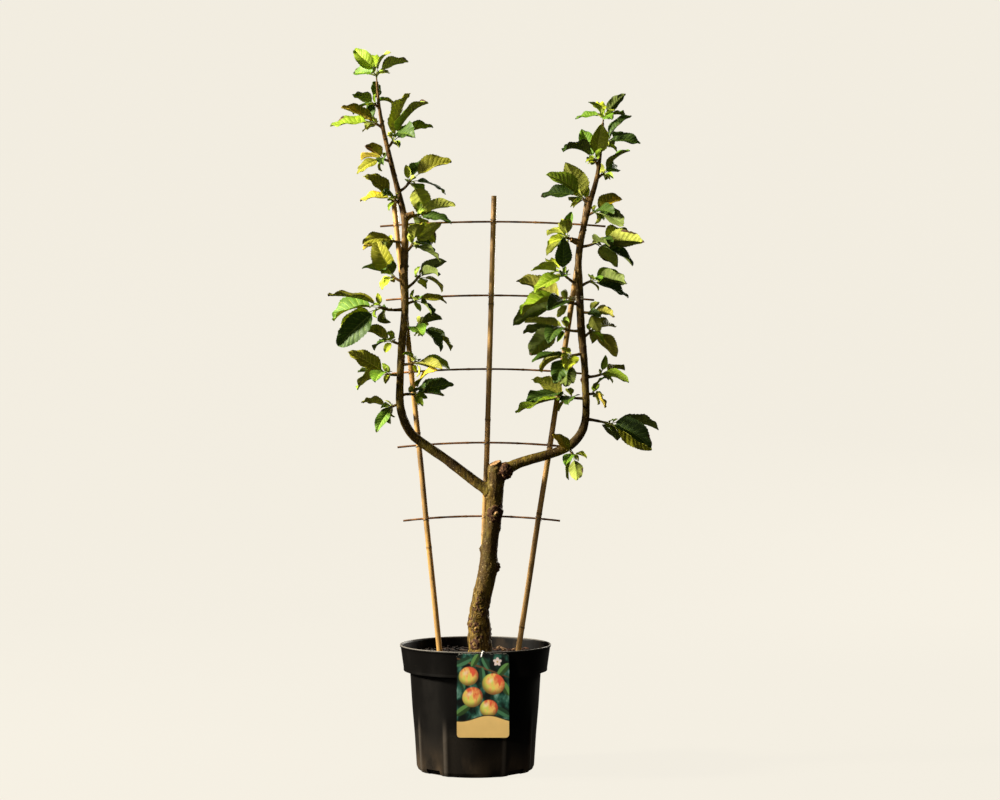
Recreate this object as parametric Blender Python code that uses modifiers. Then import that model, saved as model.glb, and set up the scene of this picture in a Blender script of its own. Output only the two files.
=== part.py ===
"""Potted apple tree trained as a flat U-shaped espalier on its bamboo trellis.

Metres, +Z up. The origin is the middle of the pot's flat underside. The crown lies in the XZ plane, its front
faces -Y, and the trellis stands behind it in the same pot.
"""

import math
import random

import bmesh
import bpy
import numpy as np
from mathutils import Matrix, Vector
from mathutils.kdtree import KDTree

# Clearance between two pieces that touch on the real plant, and the distance at which points are one.
SEAT = 0.0003
WELD = 0.000001

# Pot: a thin blow-moulded container with a deep rim band and four drain notches.
POT_HEIGHT = 0.198
RIM_RADIUS = 0.120
BAND_FOOT_RADIUS = 0.1136
BAND_DEPTH = 0.041
LIP_HEIGHT = 0.0032
LIP_PROUD = 0.0012
BODY_TOP_RADIUS = 0.1040
BODY_FOOT_RADIUS = 0.0945
FOOT_ROUND = 0.007
POT_WALL = 0.0018
POT_SIDES = 36
NOTCH_WIDTH = 0.030
NOTCH_HEIGHT = 0.009
NOTCH_DEPTH = 0.012
NOTCH_COUNT = 4

# Compost, filled to a little under the rim and heaped towards the trunk.
SOIL_LEVEL = 0.180
SOIL_HEAP = 0.003

# Plant label, hung over the rim by its strap.
LABEL_SIZE = (0.080, 0.128)
LABEL_X = 0.013
LABEL_TOP = 0.1955
LABEL_THICK = 0.0008
LABEL_CORNER = 0.005
STRAP_WIDTH = 0.007
STRAP_REACH = 0.010

# Limbs: x, y, z and radius of the points that each smooth centreline runs through.
TRUNK = (
    (0.0080, 0.000, SOIL_LEVEL + SOIL_HEAP + SEAT, 0.0205),
    (0.0080, 0.000, 0.1960, 0.0180),
    (0.0062, 0.000, 0.2350, 0.0168),
    (0.0100, -0.001, 0.2700, 0.0152),
    (0.0190, -0.001, 0.3120, 0.0146),
    (0.0226, 0.000, 0.3520, 0.0131),
    (0.0280, 0.000, 0.4000, 0.0133),
    (0.0312, 0.000, 0.4400, 0.0131),
    (0.0340, 0.000, 0.4720, 0.0126),
    (0.0345, 0.000, 0.4875, 0.0104),
)
LEFT_ARM = (
    (0.0270, 0.000, 0.4360, 0.0090),
    (-0.0059, 0.000, 0.4599, 0.0082),
    (-0.0424, 0.001, 0.4879, 0.0078),
    (-0.0791, 0.000, 0.5136, 0.0075),
    (-0.1010, -0.001, 0.5310, 0.0073),
    (-0.1140, -0.001, 0.5540, 0.0068),
    (-0.1205, 0.000, 0.5860, 0.0062),
    (-0.1183, 0.001, 0.6607, 0.0062),
    (-0.1127, 0.000, 0.7250, 0.0063),
    (-0.1133, -0.001, 0.7994, 0.0060),
    (-0.1122, -0.001, 0.8600, 0.0054),
    (-0.1165, 0.000, 0.8900, 0.0047),
    (-0.1335, 0.001, 0.9588, 0.0040),
    (-0.1478, 0.000, 1.0194, 0.0032),
    (-0.1545, -0.001, 1.0600, 0.0024),
    (-0.1575, 0.000, 1.0940, 0.0018),
)
RIGHT_ARM = (
    (0.0380, 0.000, 0.4685, 0.0105),
    (0.0600, 0.000, 0.4812, 0.0086),
    (0.0816, 0.000, 0.4895, 0.0078),
    (0.1235, 0.001, 0.5012, 0.0075),
    (0.1518, 0.001, 0.5145, 0.0074),
    (0.1690, 0.000, 0.5350, 0.0068),
    (0.1757, -0.001, 0.5620, 0.0060),
    (0.1753, -0.001, 0.6100, 0.0056),
    (0.1732, 0.000, 0.6486, 0.0060),
    (0.1690, 0.001, 0.6950, 0.0063),
    (0.1658, 0.000, 0.7611, 0.0064),
    (0.1643, -0.001, 0.8090, 0.0057),
    (0.1690, 0.000, 0.8450, 0.0050),
    (0.1800, 0.001, 0.8918, 0.0043),
    (0.1940, 0.000, 0.9428, 0.0035),
    (0.2000, -0.001, 0.9920, 0.0026),
    (0.2035, 0.000, 1.0280, 0.0018),
)
# Control points at which an arm is split: at its bend, and where last year's wood gives way to the leader.
LEFT_SPLITS = (5, 11)
RIGHT_SPLITS = (5, 12)
STEPS_PER_SPAN = 3
# Each limb's sides come from Blender's bevel: four, and two more for each step of resolution.
TRUNK_ROUND = 4
ARM_ROUND = 2

# Knots and pruned stubs: height, bearing (0 right, -90 to the front), radius, and how far they stand out.
TRUNK_KNOTS = (
    (0.1990, -120, 0.0085, 0.0030),
    (0.2330, -150, 0.0075, 0.0030),
    (0.2520, -75, 0.0065, 0.0030),
    (0.3215, 0, 0.0070, 0.0062),
    (0.3480, 180, 0.0035, 0.0035),
    (0.3830, 5, 0.0045, 0.0022),
    (0.4060, -80, 0.0062, 0.0040),
    (0.4690, -8, 0.0115, 0.0040),
)
LEFT_KNOTS = (
    (0.6480, -60, 0.0034, 0.0030),
    (0.7960, 185, 0.0040, 0.0026),
    (0.8780, -20, 0.0038, 0.0120),
)
RIGHT_KNOTS = (
    (0.6180, 170, 0.0032, 0.0030),
    (0.7400, -100, 0.0040, 0.0026),
    (0.8360, 195, 0.0046, 0.0110),
)

# Trellis: three canes that fan out of the pot, and five thin bars tied behind them.
CANE_RADIUS = 0.0044
CANE_TOP = 0.913
CANE_FOOT = 0.055
CANE_FEET_X = (-0.0576, 0.0081, 0.0678)
CANE_TOPS_X = (-0.1318, 0.0297, 0.1800)
CANE_FOOT_Y = 0.0290
CANE_TOP_Y = 0.0130
CANE_JOINT_GAP = 0.185
CANE_JOINT_SWELL = 1.13
# Distance of each cane's first bamboo joint from its foot, so that no joint lies under a bar.
CANE_FIRST_JOINTS = (0.111, 0.130, 0.168)
BAR_RADIUS = 0.0016
BAR_COUNT = 5
FIRST_BAR = 0.3995
BAR_RISE = 0.1182
FIRST_BAR_SPAN = 0.252
BAR_SPAN_RISE = 0.0275
FIRST_BAR_MIDDLE = 0.0095
BAR_MIDDLE_RISE = 0.0045
BAR_BOW = 0.0075

# Leaf rule.
SEED = 63
TRIES = 160
LEAF_ROOM = 0.0042
LIMB_ROOM = 0.0034
BLADE_THICK = 0.0012
STALK_RADIUS = 0.0009
SPUR_RADIUS = 0.0020
LEAF_WIDTH = 0.56
STALK_SHARE = (0.20, 0.36)
FAN_DEPTH = (4, 44)
STRAY_DEPTH = (50, 80)
STRAY_SIZE = 0.86
FRONT_SHARE = 0.72
SPREAD = 3.0
SPREAD_PER_TRY = 0.4
SHRINK_PER_TRY = 0.002
SAMPLES_ALONG = 13
SAMPLES_ACROSS = 9
# Rings of a leaf's solid: shares of the way along its stalk, then along its blade.
STALK_RINGS = (0.12, 0.62)
BLADE_RINGS = (0.13, 0.45, 0.79)

# Leaf masses: limb, height of the spur, its aim in the picture plane (0 right, 90 up), its turn to the back,
# its length, the aims of its leaves, and the length of a leaf. One more leaf of each mass, of random aim, grows
# towards the front or the back.
MASSES = {
    "foliage_left_low_outer": ("left", 0.580, 200, -10, 0.008, (233, 163), 0.046),
    "foliage_left_low_inner": ("left", 0.592, 8, 15, 0.014, (8, 18, 66), 0.058),
    "foliage_left_second_outer": ("left", 0.626, 178, -15, 0.014, (170, 150, 184), 0.060),
    "foliage_left_second_inner": ("left", 0.642, 8, -25, 0.020, (-14, 8), 0.056),
    "foliage_left_third_outer": ("left", 0.674, 160, 25, 0.012, (150, 186), 0.044),
    "foliage_left_third_inner": ("left", 0.698, 8, -10, 0.018, (27, -18, -34), 0.058),
    "foliage_left_fourth_outer": ("left", 0.730, 176, -15, 0.034, (176, 206, 222, 160), 0.074),
    "foliage_left_fourth_inner": ("left", 0.737, 25, 20, 0.010, (14, -6), 0.050),
    "foliage_left_fifth_outer": ("left", 0.772, 150, 20, 0.016, (146, 122), 0.056),
    "foliage_left_fifth_inner": ("left", 0.762, 42, -10, 0.024, (26, -10, 50), 0.046),
    "foliage_left_sixth_outer": ("left", 0.836, 172, -10, 0.020, (164, 182, 200), 0.050),
    "foliage_left_sixth_inner": ("left", 0.820, 45, -30, 0.014, (6, 40, 72, -16), 0.048),
    "foliage_left_seventh_inner": ("left", 0.870, 28, 5, 0.022, (-10, 20, -42), 0.056),
    "foliage_left_seventh_outer": ("left", 0.896, 140, -15, 0.008, (134, 166), 0.060),
    "foliage_left_eighth_inner": ("left", 0.918, 42, -10, 0.022, (-66, -2, 30, 64), 0.058),
    "foliage_left_ninth_inner": ("left", 0.988, 55, 10, 0.010, (56, 34, 78), 0.070),
    "foliage_left_ninth_outer": ("left", 0.966, 160, -10, 0.008, (136, 160, 200), 0.043),
    "foliage_left_tenth_outer": ("left", 1.020, 150, -10, 0.010, (151, 120, 176), 0.054),
    "foliage_left_eleventh": ("left", 1.052, 140, 20, 0.008, (146, 24, 64, 180), 0.042),
    "foliage_left_top": ("left", None, 95, 0, 0.010, (128, 28, 70, 104, 160), 0.044),
    "foliage_right_bend": ("right", 0.512, 300, -30, 0.008, (134, 280, 246), 0.040),
    "foliage_right_low_outer": ("right", 0.556, -12, 5, 0.036, (-19, -34, 4), 0.068),
    "foliage_right_second_inner": ("right", 0.588, 176, -5, 0.022, (172, 188, 180), 0.074),
    "foliage_right_second_outer": ("right", 0.594, 10, 30, 0.008, (-34, 76), 0.034),
    "foliage_right_third_outer": ("right", 0.622, 10, -10, 0.020, (-4, 24), 0.046),
    "foliage_right_third_inner": ("right", 0.660, 190, -20, 0.020, (176, 190, 238, 268), 0.056),
    "foliage_right_fourth_inner": ("right", 0.696, 172, 5, 0.024, (178, 162, 212), 0.066),
    "foliage_right_fourth_outer": ("right", 0.684, 40, 0, 0.014, (28, 64, -38), 0.052),
    "foliage_right_fifth_inner": ("right", 0.738, 172, -25, 0.016, (177, 196, 166), 0.076),
    "foliage_right_fifth_outer": ("right", 0.726, -5, -25, 0.010, (2, -28), 0.036),
    "foliage_right_sixth_outer": ("right", 0.766, 28, 10, 0.014, (3, 24, -16), 0.056),
    "foliage_right_sixth_inner": ("right", 0.766, 142, -15, 0.032, (200, 167, 118, 84), 0.046),
    "foliage_right_seventh_inner": ("right", 0.836, 160, -10, 0.018, (142, 114, 180, 82, 212), 0.037),
    "foliage_right_seventh_outer": ("right", 0.830, 15, -5, 0.022, (5, -24, 30, -50), 0.064),
    "foliage_right_eighth_outer": ("right", 0.880, 25, -20, 0.010, (-26, 37, 8), 0.053),
    "foliage_right_eighth_inner": ("right", 0.896, 130, 5, 0.010, (113, 138, 160), 0.058),
    "foliage_right_ninth_outer": ("right", 0.938, 40, 10, 0.010, (32, 58), 0.046),
    "foliage_right_ninth_inner": ("right", 0.958, 120, -15, 0.008, (146, 74, 110), 0.055),
    "foliage_right_tenth_outer": ("right", 0.992, 30, -10, 0.008, (10, 38, 64), 0.047),
    "foliage_right_top": ("right", None, 85, 0, 0.008, (128, 104, 170, 50, 80, 28), 0.039),
}

# Colours (linear RGB), roughness and metallic value of each material.
FINISHES = {
    "pot_plastic": ((0.012, 0.012, 0.013), 0.38),
    "compost": ((0.045, 0.024, 0.013), 0.95),
    "label_card": ((0.62, 0.42, 0.14), 0.45),
    "bark": ((0.120, 0.082, 0.032), 0.80),
    "bamboo": ((0.480, 0.270, 0.090), 0.55),
    "bar_cane": ((0.130, 0.060, 0.026), 0.65),
    "leaf": ((0.085, 0.170, 0.022), 0.50),
}


def clear_scene():
    for obj in list(bpy.data.objects):
        bpy.data.objects.remove(obj, do_unlink=True)


def make_collection(name, parent=None):
    collection = bpy.data.collections.new(name)
    (parent or bpy.context.scene.collection).children.link(collection)
    return collection


def material(name):
    """The named finish as a Principled material, made once."""
    found = bpy.data.materials.get(name)
    if found:
        return found
    colour, roughness = FINISHES[name]
    made = bpy.data.materials.new(name)
    made.use_nodes = True
    made.diffuse_color = (*colour, 1.0)
    shader = made.node_tree.nodes["Principled BSDF"]
    shader.inputs["Base Color"].default_value = (*colour, 1.0)
    shader.inputs["Roughness"].default_value = roughness
    shader.inputs["Metallic"].default_value = 0.0
    return made


def add_object(name, data, collection, finish=None):
    obj = bpy.data.objects.new(name, data)
    collection.objects.link(obj)
    if finish:
        obj.data.materials.append(material(finish))
    return obj


def as_helper(obj):
    """A cutter or guide: never rendered, drawn as wire."""
    obj.hide_render = True
    obj.display_type = "WIRE"
    return obj


def to_mesh(obj, name, collection, finish=None):
    """Replaces obj by a plain mesh object that holds its evaluated shape, caps welded and scraps dropped."""
    bpy.context.view_layer.update()
    graph = bpy.context.evaluated_depsgraph_get()
    mesh = bpy.data.meshes.new_from_object(obj.evaluated_get(graph), depsgraph=graph)
    mesh.transform(obj.matrix_world)
    bpy.data.objects.remove(obj, do_unlink=True)
    shape = bmesh.new()
    shape.from_mesh(mesh)
    bmesh.ops.remove_doubles(shape, verts=shape.verts, dist=WELD)
    drop_scraps(shape)
    bmesh.ops.recalc_face_normals(shape, faces=shape.faces)
    shape.to_mesh(mesh)
    shape.free()
    mesh.name = name
    mesh.materials.clear()
    return add_object(name, mesh, collection, finish)


def drop_scraps(shape):
    """Keeps only the body with the most faces, because a cut can leave loose crumbs beside it."""
    left = set(shape.faces)
    bodies = []
    while left:
        stack = [left.pop()]
        body = []
        while stack:
            face = stack.pop()
            body.append(face)
            beside = {other for edge in face.edges for other in edge.link_faces} & left
            left -= beside
            stack.extend(beside)
        bodies.append(body)
    bodies.sort(key=len)
    crumbs = [face for body in bodies[:-1] for face in body]
    bmesh.ops.delete(shape, geom=crumbs, context="FACES")


def boolean(obj, operation, other):
    """Adds one Boolean of a mesh object, or of every mesh in a collection."""
    cut = obj.modifiers.new(operation.title(), "BOOLEAN")
    cut.operation = operation
    cut.solver = "EXACT"
    if isinstance(other, bpy.types.Collection):
        cut.operand_type = "COLLECTION"
        cut.collection = other
    else:
        cut.object = other
    return cut


def tube(name, points, sides, collection, profile=None):
    """A filled curve tube through points of (x, y, z, radius)."""
    curve = bpy.data.curves.new(name, "CURVE")
    curve.dimensions = "3D"
    curve.use_fill_caps = True
    if profile:
        curve.bevel_mode = "OBJECT"
        curve.bevel_object = profile
    else:
        curve.bevel_depth = 1.0
        curve.bevel_resolution = sides
    spline = curve.splines.new("POLY")
    spline.points.add(len(points) - 1)
    for point, (x, y, z, radius) in zip(spline.points, points):
        point.co = (x, y, z, 1.0)
        point.radius = radius
    return add_object(name, curve, collection)


def lathe(name, profile, collection, finish):
    """Turns an XZ profile round Z. The profile climbs its inner side and comes down its outer side."""
    mesh = bpy.data.meshes.new(name)
    edges = [(i, i + 1) for i in range(len(profile) - 1)]
    mesh.from_pydata([(x, 0.0, z) for x, z in profile], edges, [])
    obj = add_object(name, mesh, collection, finish)
    screw = obj.modifiers.new("Turn", "SCREW")
    screw.axis = "Z"
    screw.angle = math.tau
    screw.steps = screw.render_steps = POT_SIDES
    screw.use_merge_vertices = True
    screw.merge_threshold = 0.00005
    return obj


def smooth_path(points, steps):
    """Points of (x, y, z, radius) on the Catmull-Rom curve through the given ones."""
    knots = np.array([points[0], *points, points[-1]], float)
    made = []
    for i in range(1, len(knots) - 2):
        a, b, c, d = knots[i - 1 : i + 3]
        for step in range(steps):
            t = step / steps
            made.append(
                0.5 * (2 * b + (c - a) * t + (2 * a - 5 * b + 4 * c - d) * t**2 + (3 * b - a - 3 * c + d) * t**3)
            )
    made.append(knots[-2])
    return np.array(made)


def split_path(path, at):
    """Cuts a path into stretches at the given indices, with flat ends that face each other across SEAT."""
    stretches = []
    ends = [0, *at, len(path) - 1]
    for first, last in zip(ends, ends[1:]):
        stretch = [path[first], *path[first + 1 : last], path[last]]
        for end, sign in ((0, 1), (-1, -1)):
            index = first if end == 0 else last
            if index in (0, len(path) - 1):
                continue
            along = path[index + 1][:3] - path[index - 1][:3]
            along = np.append(along / np.linalg.norm(along), 0.0) * sign
            stretch[end] = path[index] + along * SEAT / 2
            stretch.insert(1 if end == 0 else -1, path[index] + along * 0.002)
        stretches.append(np.array(stretch))
    return stretches


def at_height(path, height):
    """Point, radius and direction of a path where it first reaches a height; its tip if height is None."""
    if height is None:
        along = path[-1][:3] - path[-2][:3]
        return path[-1][:3], path[-1][3], along / np.linalg.norm(along)
    i = int(np.argmax(path[1:, 2] >= height))
    share = (height - path[i, 2]) / (path[i + 1, 2] - path[i, 2])
    here = path[i] + (path[i + 1] - path[i]) * share
    along = path[i + 1][:3] - path[i][:3]
    return here[:3], here[3], along / np.linalg.norm(along)


def aim_of(angle, turn):
    """Unit vector at an angle in the picture plane, turned to the back by another."""
    angle, turn = math.radians(angle), math.radians(turn)
    return np.array([math.cos(angle) * math.cos(turn), math.sin(turn), math.sin(angle) * math.cos(turn)])


def unit(vector):
    return vector / np.linalg.norm(vector)


def stub(name, root, along, radius, length, collection):
    """A seven-sided stub, a little narrower at its cut end."""
    shape = bmesh.new()
    bmesh.ops.create_cone(
        shape, cap_ends=True, segments=7, radius1=radius, radius2=radius * 0.72, depth=length
    )
    mesh = bpy.data.meshes.new(name)
    turn = Vector(along).to_track_quat("Z", "Y").to_matrix().to_4x4()
    shape.transform(Matrix.Translation(Vector(root) + Vector(along) * length / 2) @ turn)
    shape.to_mesh(mesh)
    shape.free()
    return add_object(name, mesh, collection)


def limb(name, path, whole, knots, sides, collection, finish=None, grow=0.0):
    """A tapering limb with its knots fused on. grow swells all of it, to make a cutter."""
    bare = np.array(path)
    bare[:, 3] += grow
    obj = to_mesh(tube(name, bare, sides, collection), name, collection, finish)
    inside = [k for k in knots if path[0][2] < k[0] < path[-1][2]]
    if not inside:
        return obj
    extra = make_collection(name + "_knots")
    for height, bearing, radius, proud in inside:
        root, thick, _ = at_height(whole, height)
        turn = math.radians(bearing)
        along = unit(np.array([math.cos(turn), math.sin(turn), 0.35]))
        length = (thick + proud + grow) / math.hypot(along[0], along[1])
        stub("knot", root, along, radius + grow, length, extra)
    boolean(obj, "UNION", extra)
    obj = to_mesh(obj, name, collection, finish)
    drop_collection(extra)
    return obj


def drop_collection(collection):
    for obj in list(collection.objects):
        bpy.data.objects.remove(obj, do_unlink=True)
    bpy.data.collections.remove(collection)


def band_inner_radius(height):
    """Radius of the rim band's inner side at a height."""
    share = (height - POT_HEIGHT + BAND_DEPTH) / BAND_DEPTH
    return BAND_FOOT_RADIUS - POT_WALL + (RIM_RADIUS - LIP_PROUD - BAND_FOOT_RADIUS) * share


def pot_profile():
    """Inner side up, over the lip, and down the outer side to the axis."""
    band_foot = POT_HEIGHT - BAND_DEPTH
    wall = POT_WALL
    slope = (BODY_TOP_RADIUS - BODY_FOOT_RADIUS) / (band_foot - FOOT_ROUND)
    return (
        (0.0, wall),
        (BODY_FOOT_RADIUS - FOOT_ROUND - wall * 0.5, wall),
        (BODY_FOOT_RADIUS - wall + slope * 0.004, FOOT_ROUND + 0.001),
        (BODY_TOP_RADIUS - wall, band_foot - wall),
        (BODY_TOP_RADIUS - wall, band_foot + wall),
        (band_inner_radius(band_foot + wall * 1.5), band_foot + wall * 1.5),
        (band_inner_radius(POT_HEIGHT - LIP_HEIGHT), POT_HEIGHT - LIP_HEIGHT),
        (RIM_RADIUS - wall, POT_HEIGHT),
        (RIM_RADIUS, POT_HEIGHT - 0.0004),
        (RIM_RADIUS, POT_HEIGHT - LIP_HEIGHT),
        (RIM_RADIUS - LIP_PROUD, POT_HEIGHT - LIP_HEIGHT - 0.001),
        (BAND_FOOT_RADIUS, band_foot),
        (BODY_TOP_RADIUS, band_foot),
        (BODY_FOOT_RADIUS, FOOT_ROUND),
        (BODY_FOOT_RADIUS - FOOT_ROUND * 0.3, FOOT_ROUND * 0.3),
        (BODY_FOOT_RADIUS - FOOT_ROUND, 0.0),
        (0.0, 0.0),
    )


def box(name, size, centre, turn, collection):
    shape = bmesh.new()
    bmesh.ops.create_cube(shape, size=1.0)
    shape.transform(Matrix.Rotation(turn, 4, "Z") @ Matrix.Translation(centre) @ Matrix.Diagonal((*size, 1.0)))
    mesh = bpy.data.meshes.new(name)
    shape.to_mesh(mesh)
    shape.free()
    return add_object(name, mesh, collection)


def build_pot(parts, cutters):
    pot = lathe("pot", pot_profile(), parts, "pot_plastic")
    for i in range(NOTCH_COUNT):
        turn = math.tau * (i + 0.5) / NOTCH_COUNT
        middle = BODY_FOOT_RADIUS - NOTCH_DEPTH + 0.02
        size = (0.04, NOTCH_WIDTH, NOTCH_HEIGHT * 2)
        notch = box(f"drain_notch_{i + 1}", size, (middle, 0.0, 0.0), turn, cutters)
        boolean(pot, "DIFFERENCE", as_helper(notch))
    return pot


def cane_paths():
    """Centreline of each cane from its foot in the compost, swollen a little at each bamboo joint."""
    paths = []
    for foot, top, first_joint in zip(CANE_FEET_X, CANE_TOPS_X, CANE_FIRST_JOINTS):
        low = np.array([foot, CANE_FOOT_Y, SOIL_LEVEL])
        high = np.array([top, CANE_TOP_Y, CANE_TOP])
        run = unit(high - low)
        start = low - run * (SOIL_LEVEL - CANE_FOOT) / run[2]
        length = np.linalg.norm(high - start)
        rings = [(0.0, 1.0)]
        for joint in np.arange(first_joint, length - 0.03, CANE_JOINT_GAP):
            rings += [(joint - 0.004, 0.98), (joint, CANE_JOINT_SWELL), (joint + 0.004, 0.98)]
        rings.append((length, 0.92))
        paths.append(np.array([[*(start + run * s), CANE_RADIUS * swell] for s, swell in rings]))
    return paths


def cane_y(height):
    """Depth of the canes' axes at a height."""
    return CANE_FOOT_Y + (CANE_TOP_Y - CANE_FOOT_Y) * (height - SOIL_LEVEL) / (CANE_TOP - SOIL_LEVEL)


def bar_paths():
    """Centreline of each bar, bowed up in the middle, against the backs of the canes."""
    paths = []
    behind = CANE_RADIUS + BAR_RADIUS + SEAT
    for i in range(BAR_COUNT):
        height = FIRST_BAR + BAR_RISE * i
        half = (FIRST_BAR_SPAN + BAR_SPAN_RISE * i) / 2
        middle = FIRST_BAR_MIDDLE + BAR_MIDDLE_RISE * i
        path = []
        for share in np.linspace(-1.0, 1.0, 7):
            z = height - BAR_BOW * share**2
            path.append((middle + half * share, cane_y(z) + behind, z, BAR_RADIUS))
        paths.append(np.array(path))
    return paths


def build_trellis(parts, cutters):
    """Canes and bars, and the cutters that bore the canes' holes in the compost."""
    bores = []
    for side, path in zip(("left", "middle", "right"), cane_paths()):
        name = f"trellis_cane_{side}"
        to_mesh(tube(name, path, 2, parts), name, parts, "bamboo")
        bore = path[[0, -1]].copy()
        bore[0, :3] -= unit(bore[1, :3] - bore[0, :3]) * SEAT
        bore[:, 3] = CANE_RADIUS * CANE_JOINT_SWELL + SEAT * 2
        bores.append(as_helper(to_mesh(tube("bore", bore, 2, cutters), f"cane_bore_{side}", cutters)))
    for i, path in enumerate(bar_paths()):
        name = f"trellis_bar_{i + 1}"
        to_mesh(tube(name, path, 1, parts), name, parts, "bar_cane")
    return bores


def build_soil(parts, bores):
    inner = POT_WALL + SEAT
    band_foot = POT_HEIGHT - BAND_DEPTH
    slope = (BODY_TOP_RADIUS - BODY_FOOT_RADIUS) / (band_foot - FOOT_ROUND)
    profile = (
        (0.0, SOIL_LEVEL + SOIL_HEAP),
        (0.030, SOIL_LEVEL + SOIL_HEAP),
        (0.070, SOIL_LEVEL + SOIL_HEAP * 0.3),
        (band_inner_radius(SOIL_LEVEL) - SEAT, SOIL_LEVEL),
        (band_inner_radius(band_foot + POT_WALL * 1.5) - SEAT, band_foot + POT_WALL * 1.5 + SEAT),
        (BODY_TOP_RADIUS - inner - 0.0002, band_foot + POT_WALL * 1.5 + SEAT),
        (BODY_TOP_RADIUS - inner - 0.0004, band_foot - POT_WALL),
        (BODY_FOOT_RADIUS - inner + slope * 0.004 - 0.0004, FOOT_ROUND + 0.001),
        (BODY_FOOT_RADIUS - FOOT_ROUND - POT_WALL, POT_WALL + SEAT),
        (0.0, POT_WALL + SEAT),
    )
    soil = lathe("soil", profile, parts, "compost")
    for bore in bores:
        boolean(soil, "DIFFERENCE", bore)
    return soil


def rounded_outline(name, width, height, corner, thick, collection):
    """A flat card with round corners, extruded to its thickness, as a 2D curve."""
    curve = bpy.data.curves.new(name, "CURVE")
    curve.dimensions = "2D"
    curve.fill_mode = "BOTH"
    curve.extrude = thick / 2
    points = []
    for quarter in range(4):
        centre_x = (width / 2 - corner) * (1 if quarter in (0, 3) else -1)
        centre_y = (height / 2 - corner) * (1 if quarter < 2 else -1)
        for step in range(4):
            turn = math.tau * (quarter + step / 3) / 4
            points.append((centre_x + corner * math.cos(turn), centre_y + corner * math.sin(turn)))
    spline = curve.splines.new("POLY")
    spline.points.add(len(points) - 1)
    spline.use_cyclic_u = True
    for point, (x, y) in zip(spline.points, points):
        point.co = (x, y, 0.0, 1.0)
    return add_object(name, curve, collection)


def build_label(parts):
    """The card, with a strap fused on that hooks over the pot's lip."""
    width, height = LABEL_SIZE
    front = -(RIM_RADIUS + SEAT + LABEL_THICK / 2)
    card = rounded_outline("label", width, height, LABEL_CORNER, LABEL_THICK, parts)
    card.location = (LABEL_X, front, LABEL_TOP - height / 2)
    card.rotation_euler = (math.radians(90), 0.0, 0.0)
    card = to_mesh(card, "label", parts, "label_card")
    lip_top = POT_HEIGHT + SEAT
    inside = band_inner_radius(lip_top - STRAP_REACH) - SEAT
    back = LABEL_THICK / 2 - math.sqrt(inside**2 - (LABEL_X + STRAP_WIDTH / 2) ** 2)
    rise = lip_top + LABEL_THICK / 2
    strap = make_collection("label_strap")
    middle = (rise + LABEL_TOP - 0.008) / 2
    half = LABEL_THICK / 2
    legs = (
        ((STRAP_WIDTH, LABEL_THICK, rise + half - LABEL_TOP + 0.008), (LABEL_X, front, middle + half / 2)),
        ((STRAP_WIDTH - 0.0002, back - front + LABEL_THICK, LABEL_THICK), (LABEL_X, (front + back) / 2, rise)),
        ((STRAP_WIDTH - 0.0004, LABEL_THICK, STRAP_REACH), (LABEL_X, back, rise - STRAP_REACH / 2)),
    )
    for i, (size, centre) in enumerate(legs):
        box(f"strap_leg_{i + 1}", size, centre, 0.0, strap)
    boolean(card, "UNION", strap)
    card = to_mesh(card, "label", parts, "label_card")
    drop_collection(strap)
    return card


def blade_profile(u):
    """Half width along the blade as a share of its widest: ovate, with a short drawn-out tip."""
    u = np.asarray(u, float)
    body = np.sin(np.pi * u**0.86) ** 0.78
    return np.where(u > 0.86, np.minimum(body, body[()] * (1.86 - u)), body)


def blade_points(leaf, u, v, lift=0.0):
    """Points of a leaf's blade: u runs from its foot to its tip, v from edge to edge, lift off the surface.

    The midrib is an arc that droops away from the blade's upper side, each half is raised by the fold, and the
    cross line turns about the midrib by the twist.
    """
    u, v, lift = np.broadcast_arrays(np.asarray(u, float), np.asarray(v, float), np.asarray(lift, float))
    bend = leaf["droop"] * u
    run = leaf["length"] * np.sin(bend) / leaf["droop"]
    fall = leaf["length"] * (1 - np.cos(bend)) / leaf["droop"]
    side = np.cross(leaf["along"], leaf["up"])
    up = leaf["up"] * np.cos(bend)[..., None] + leaf["along"] * np.sin(bend)[..., None]
    turn = leaf["twist"] * (u - 0.3)
    across = side * np.cos(turn)[..., None] + up * np.sin(turn)[..., None]
    above = up * np.cos(turn)[..., None] - side * np.sin(turn)[..., None]
    half = leaf["width"] / 2 * blade_profile(u)
    out = half * v * math.cos(leaf["fold"])
    raised = half * np.abs(v) * math.sin(leaf["fold"]) + lift
    middle = leaf["foot"] + leaf["along"] * run[..., None] - leaf["up"] * fall[..., None]
    return middle + across * out[..., None] + above * raised[..., None]


def petiole_points(leaf, shares):
    """Points of the leaf's stalk, which leaves its spur and bends into the blade (a quadratic curve)."""
    t = np.asarray(shares, float)[:, None]
    a, b, c = leaf["root"], leaf["knee"], leaf["foot"]
    return a * (1 - t) ** 2 + 2 * b * t * (1 - t) + c * t**2


def leaf_samples(leaf):
    """Points spread over a blade and its stalk, with which its room is measured."""
    u, v = np.meshgrid(np.linspace(0.04, 1.0, SAMPLES_ALONG), np.linspace(-1, 1, SAMPLES_ACROSS))
    blade = blade_points(leaf, u.ravel(), v.ravel())
    return np.vstack([blade, petiole_points(leaf, (0.6, 0.8, 1.0))])


def capsules(paths):
    """Every straight stretch of the limbs and canes, as its two ends and its radius."""
    starts = np.vstack([p[:-1, :3] for p in paths])
    ends = np.vstack([p[1:, :3] for p in paths])
    radii = np.concatenate([np.maximum(p[:-1, 3], p[1:, 3]) for p in paths])
    return starts, ends, radii


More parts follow.
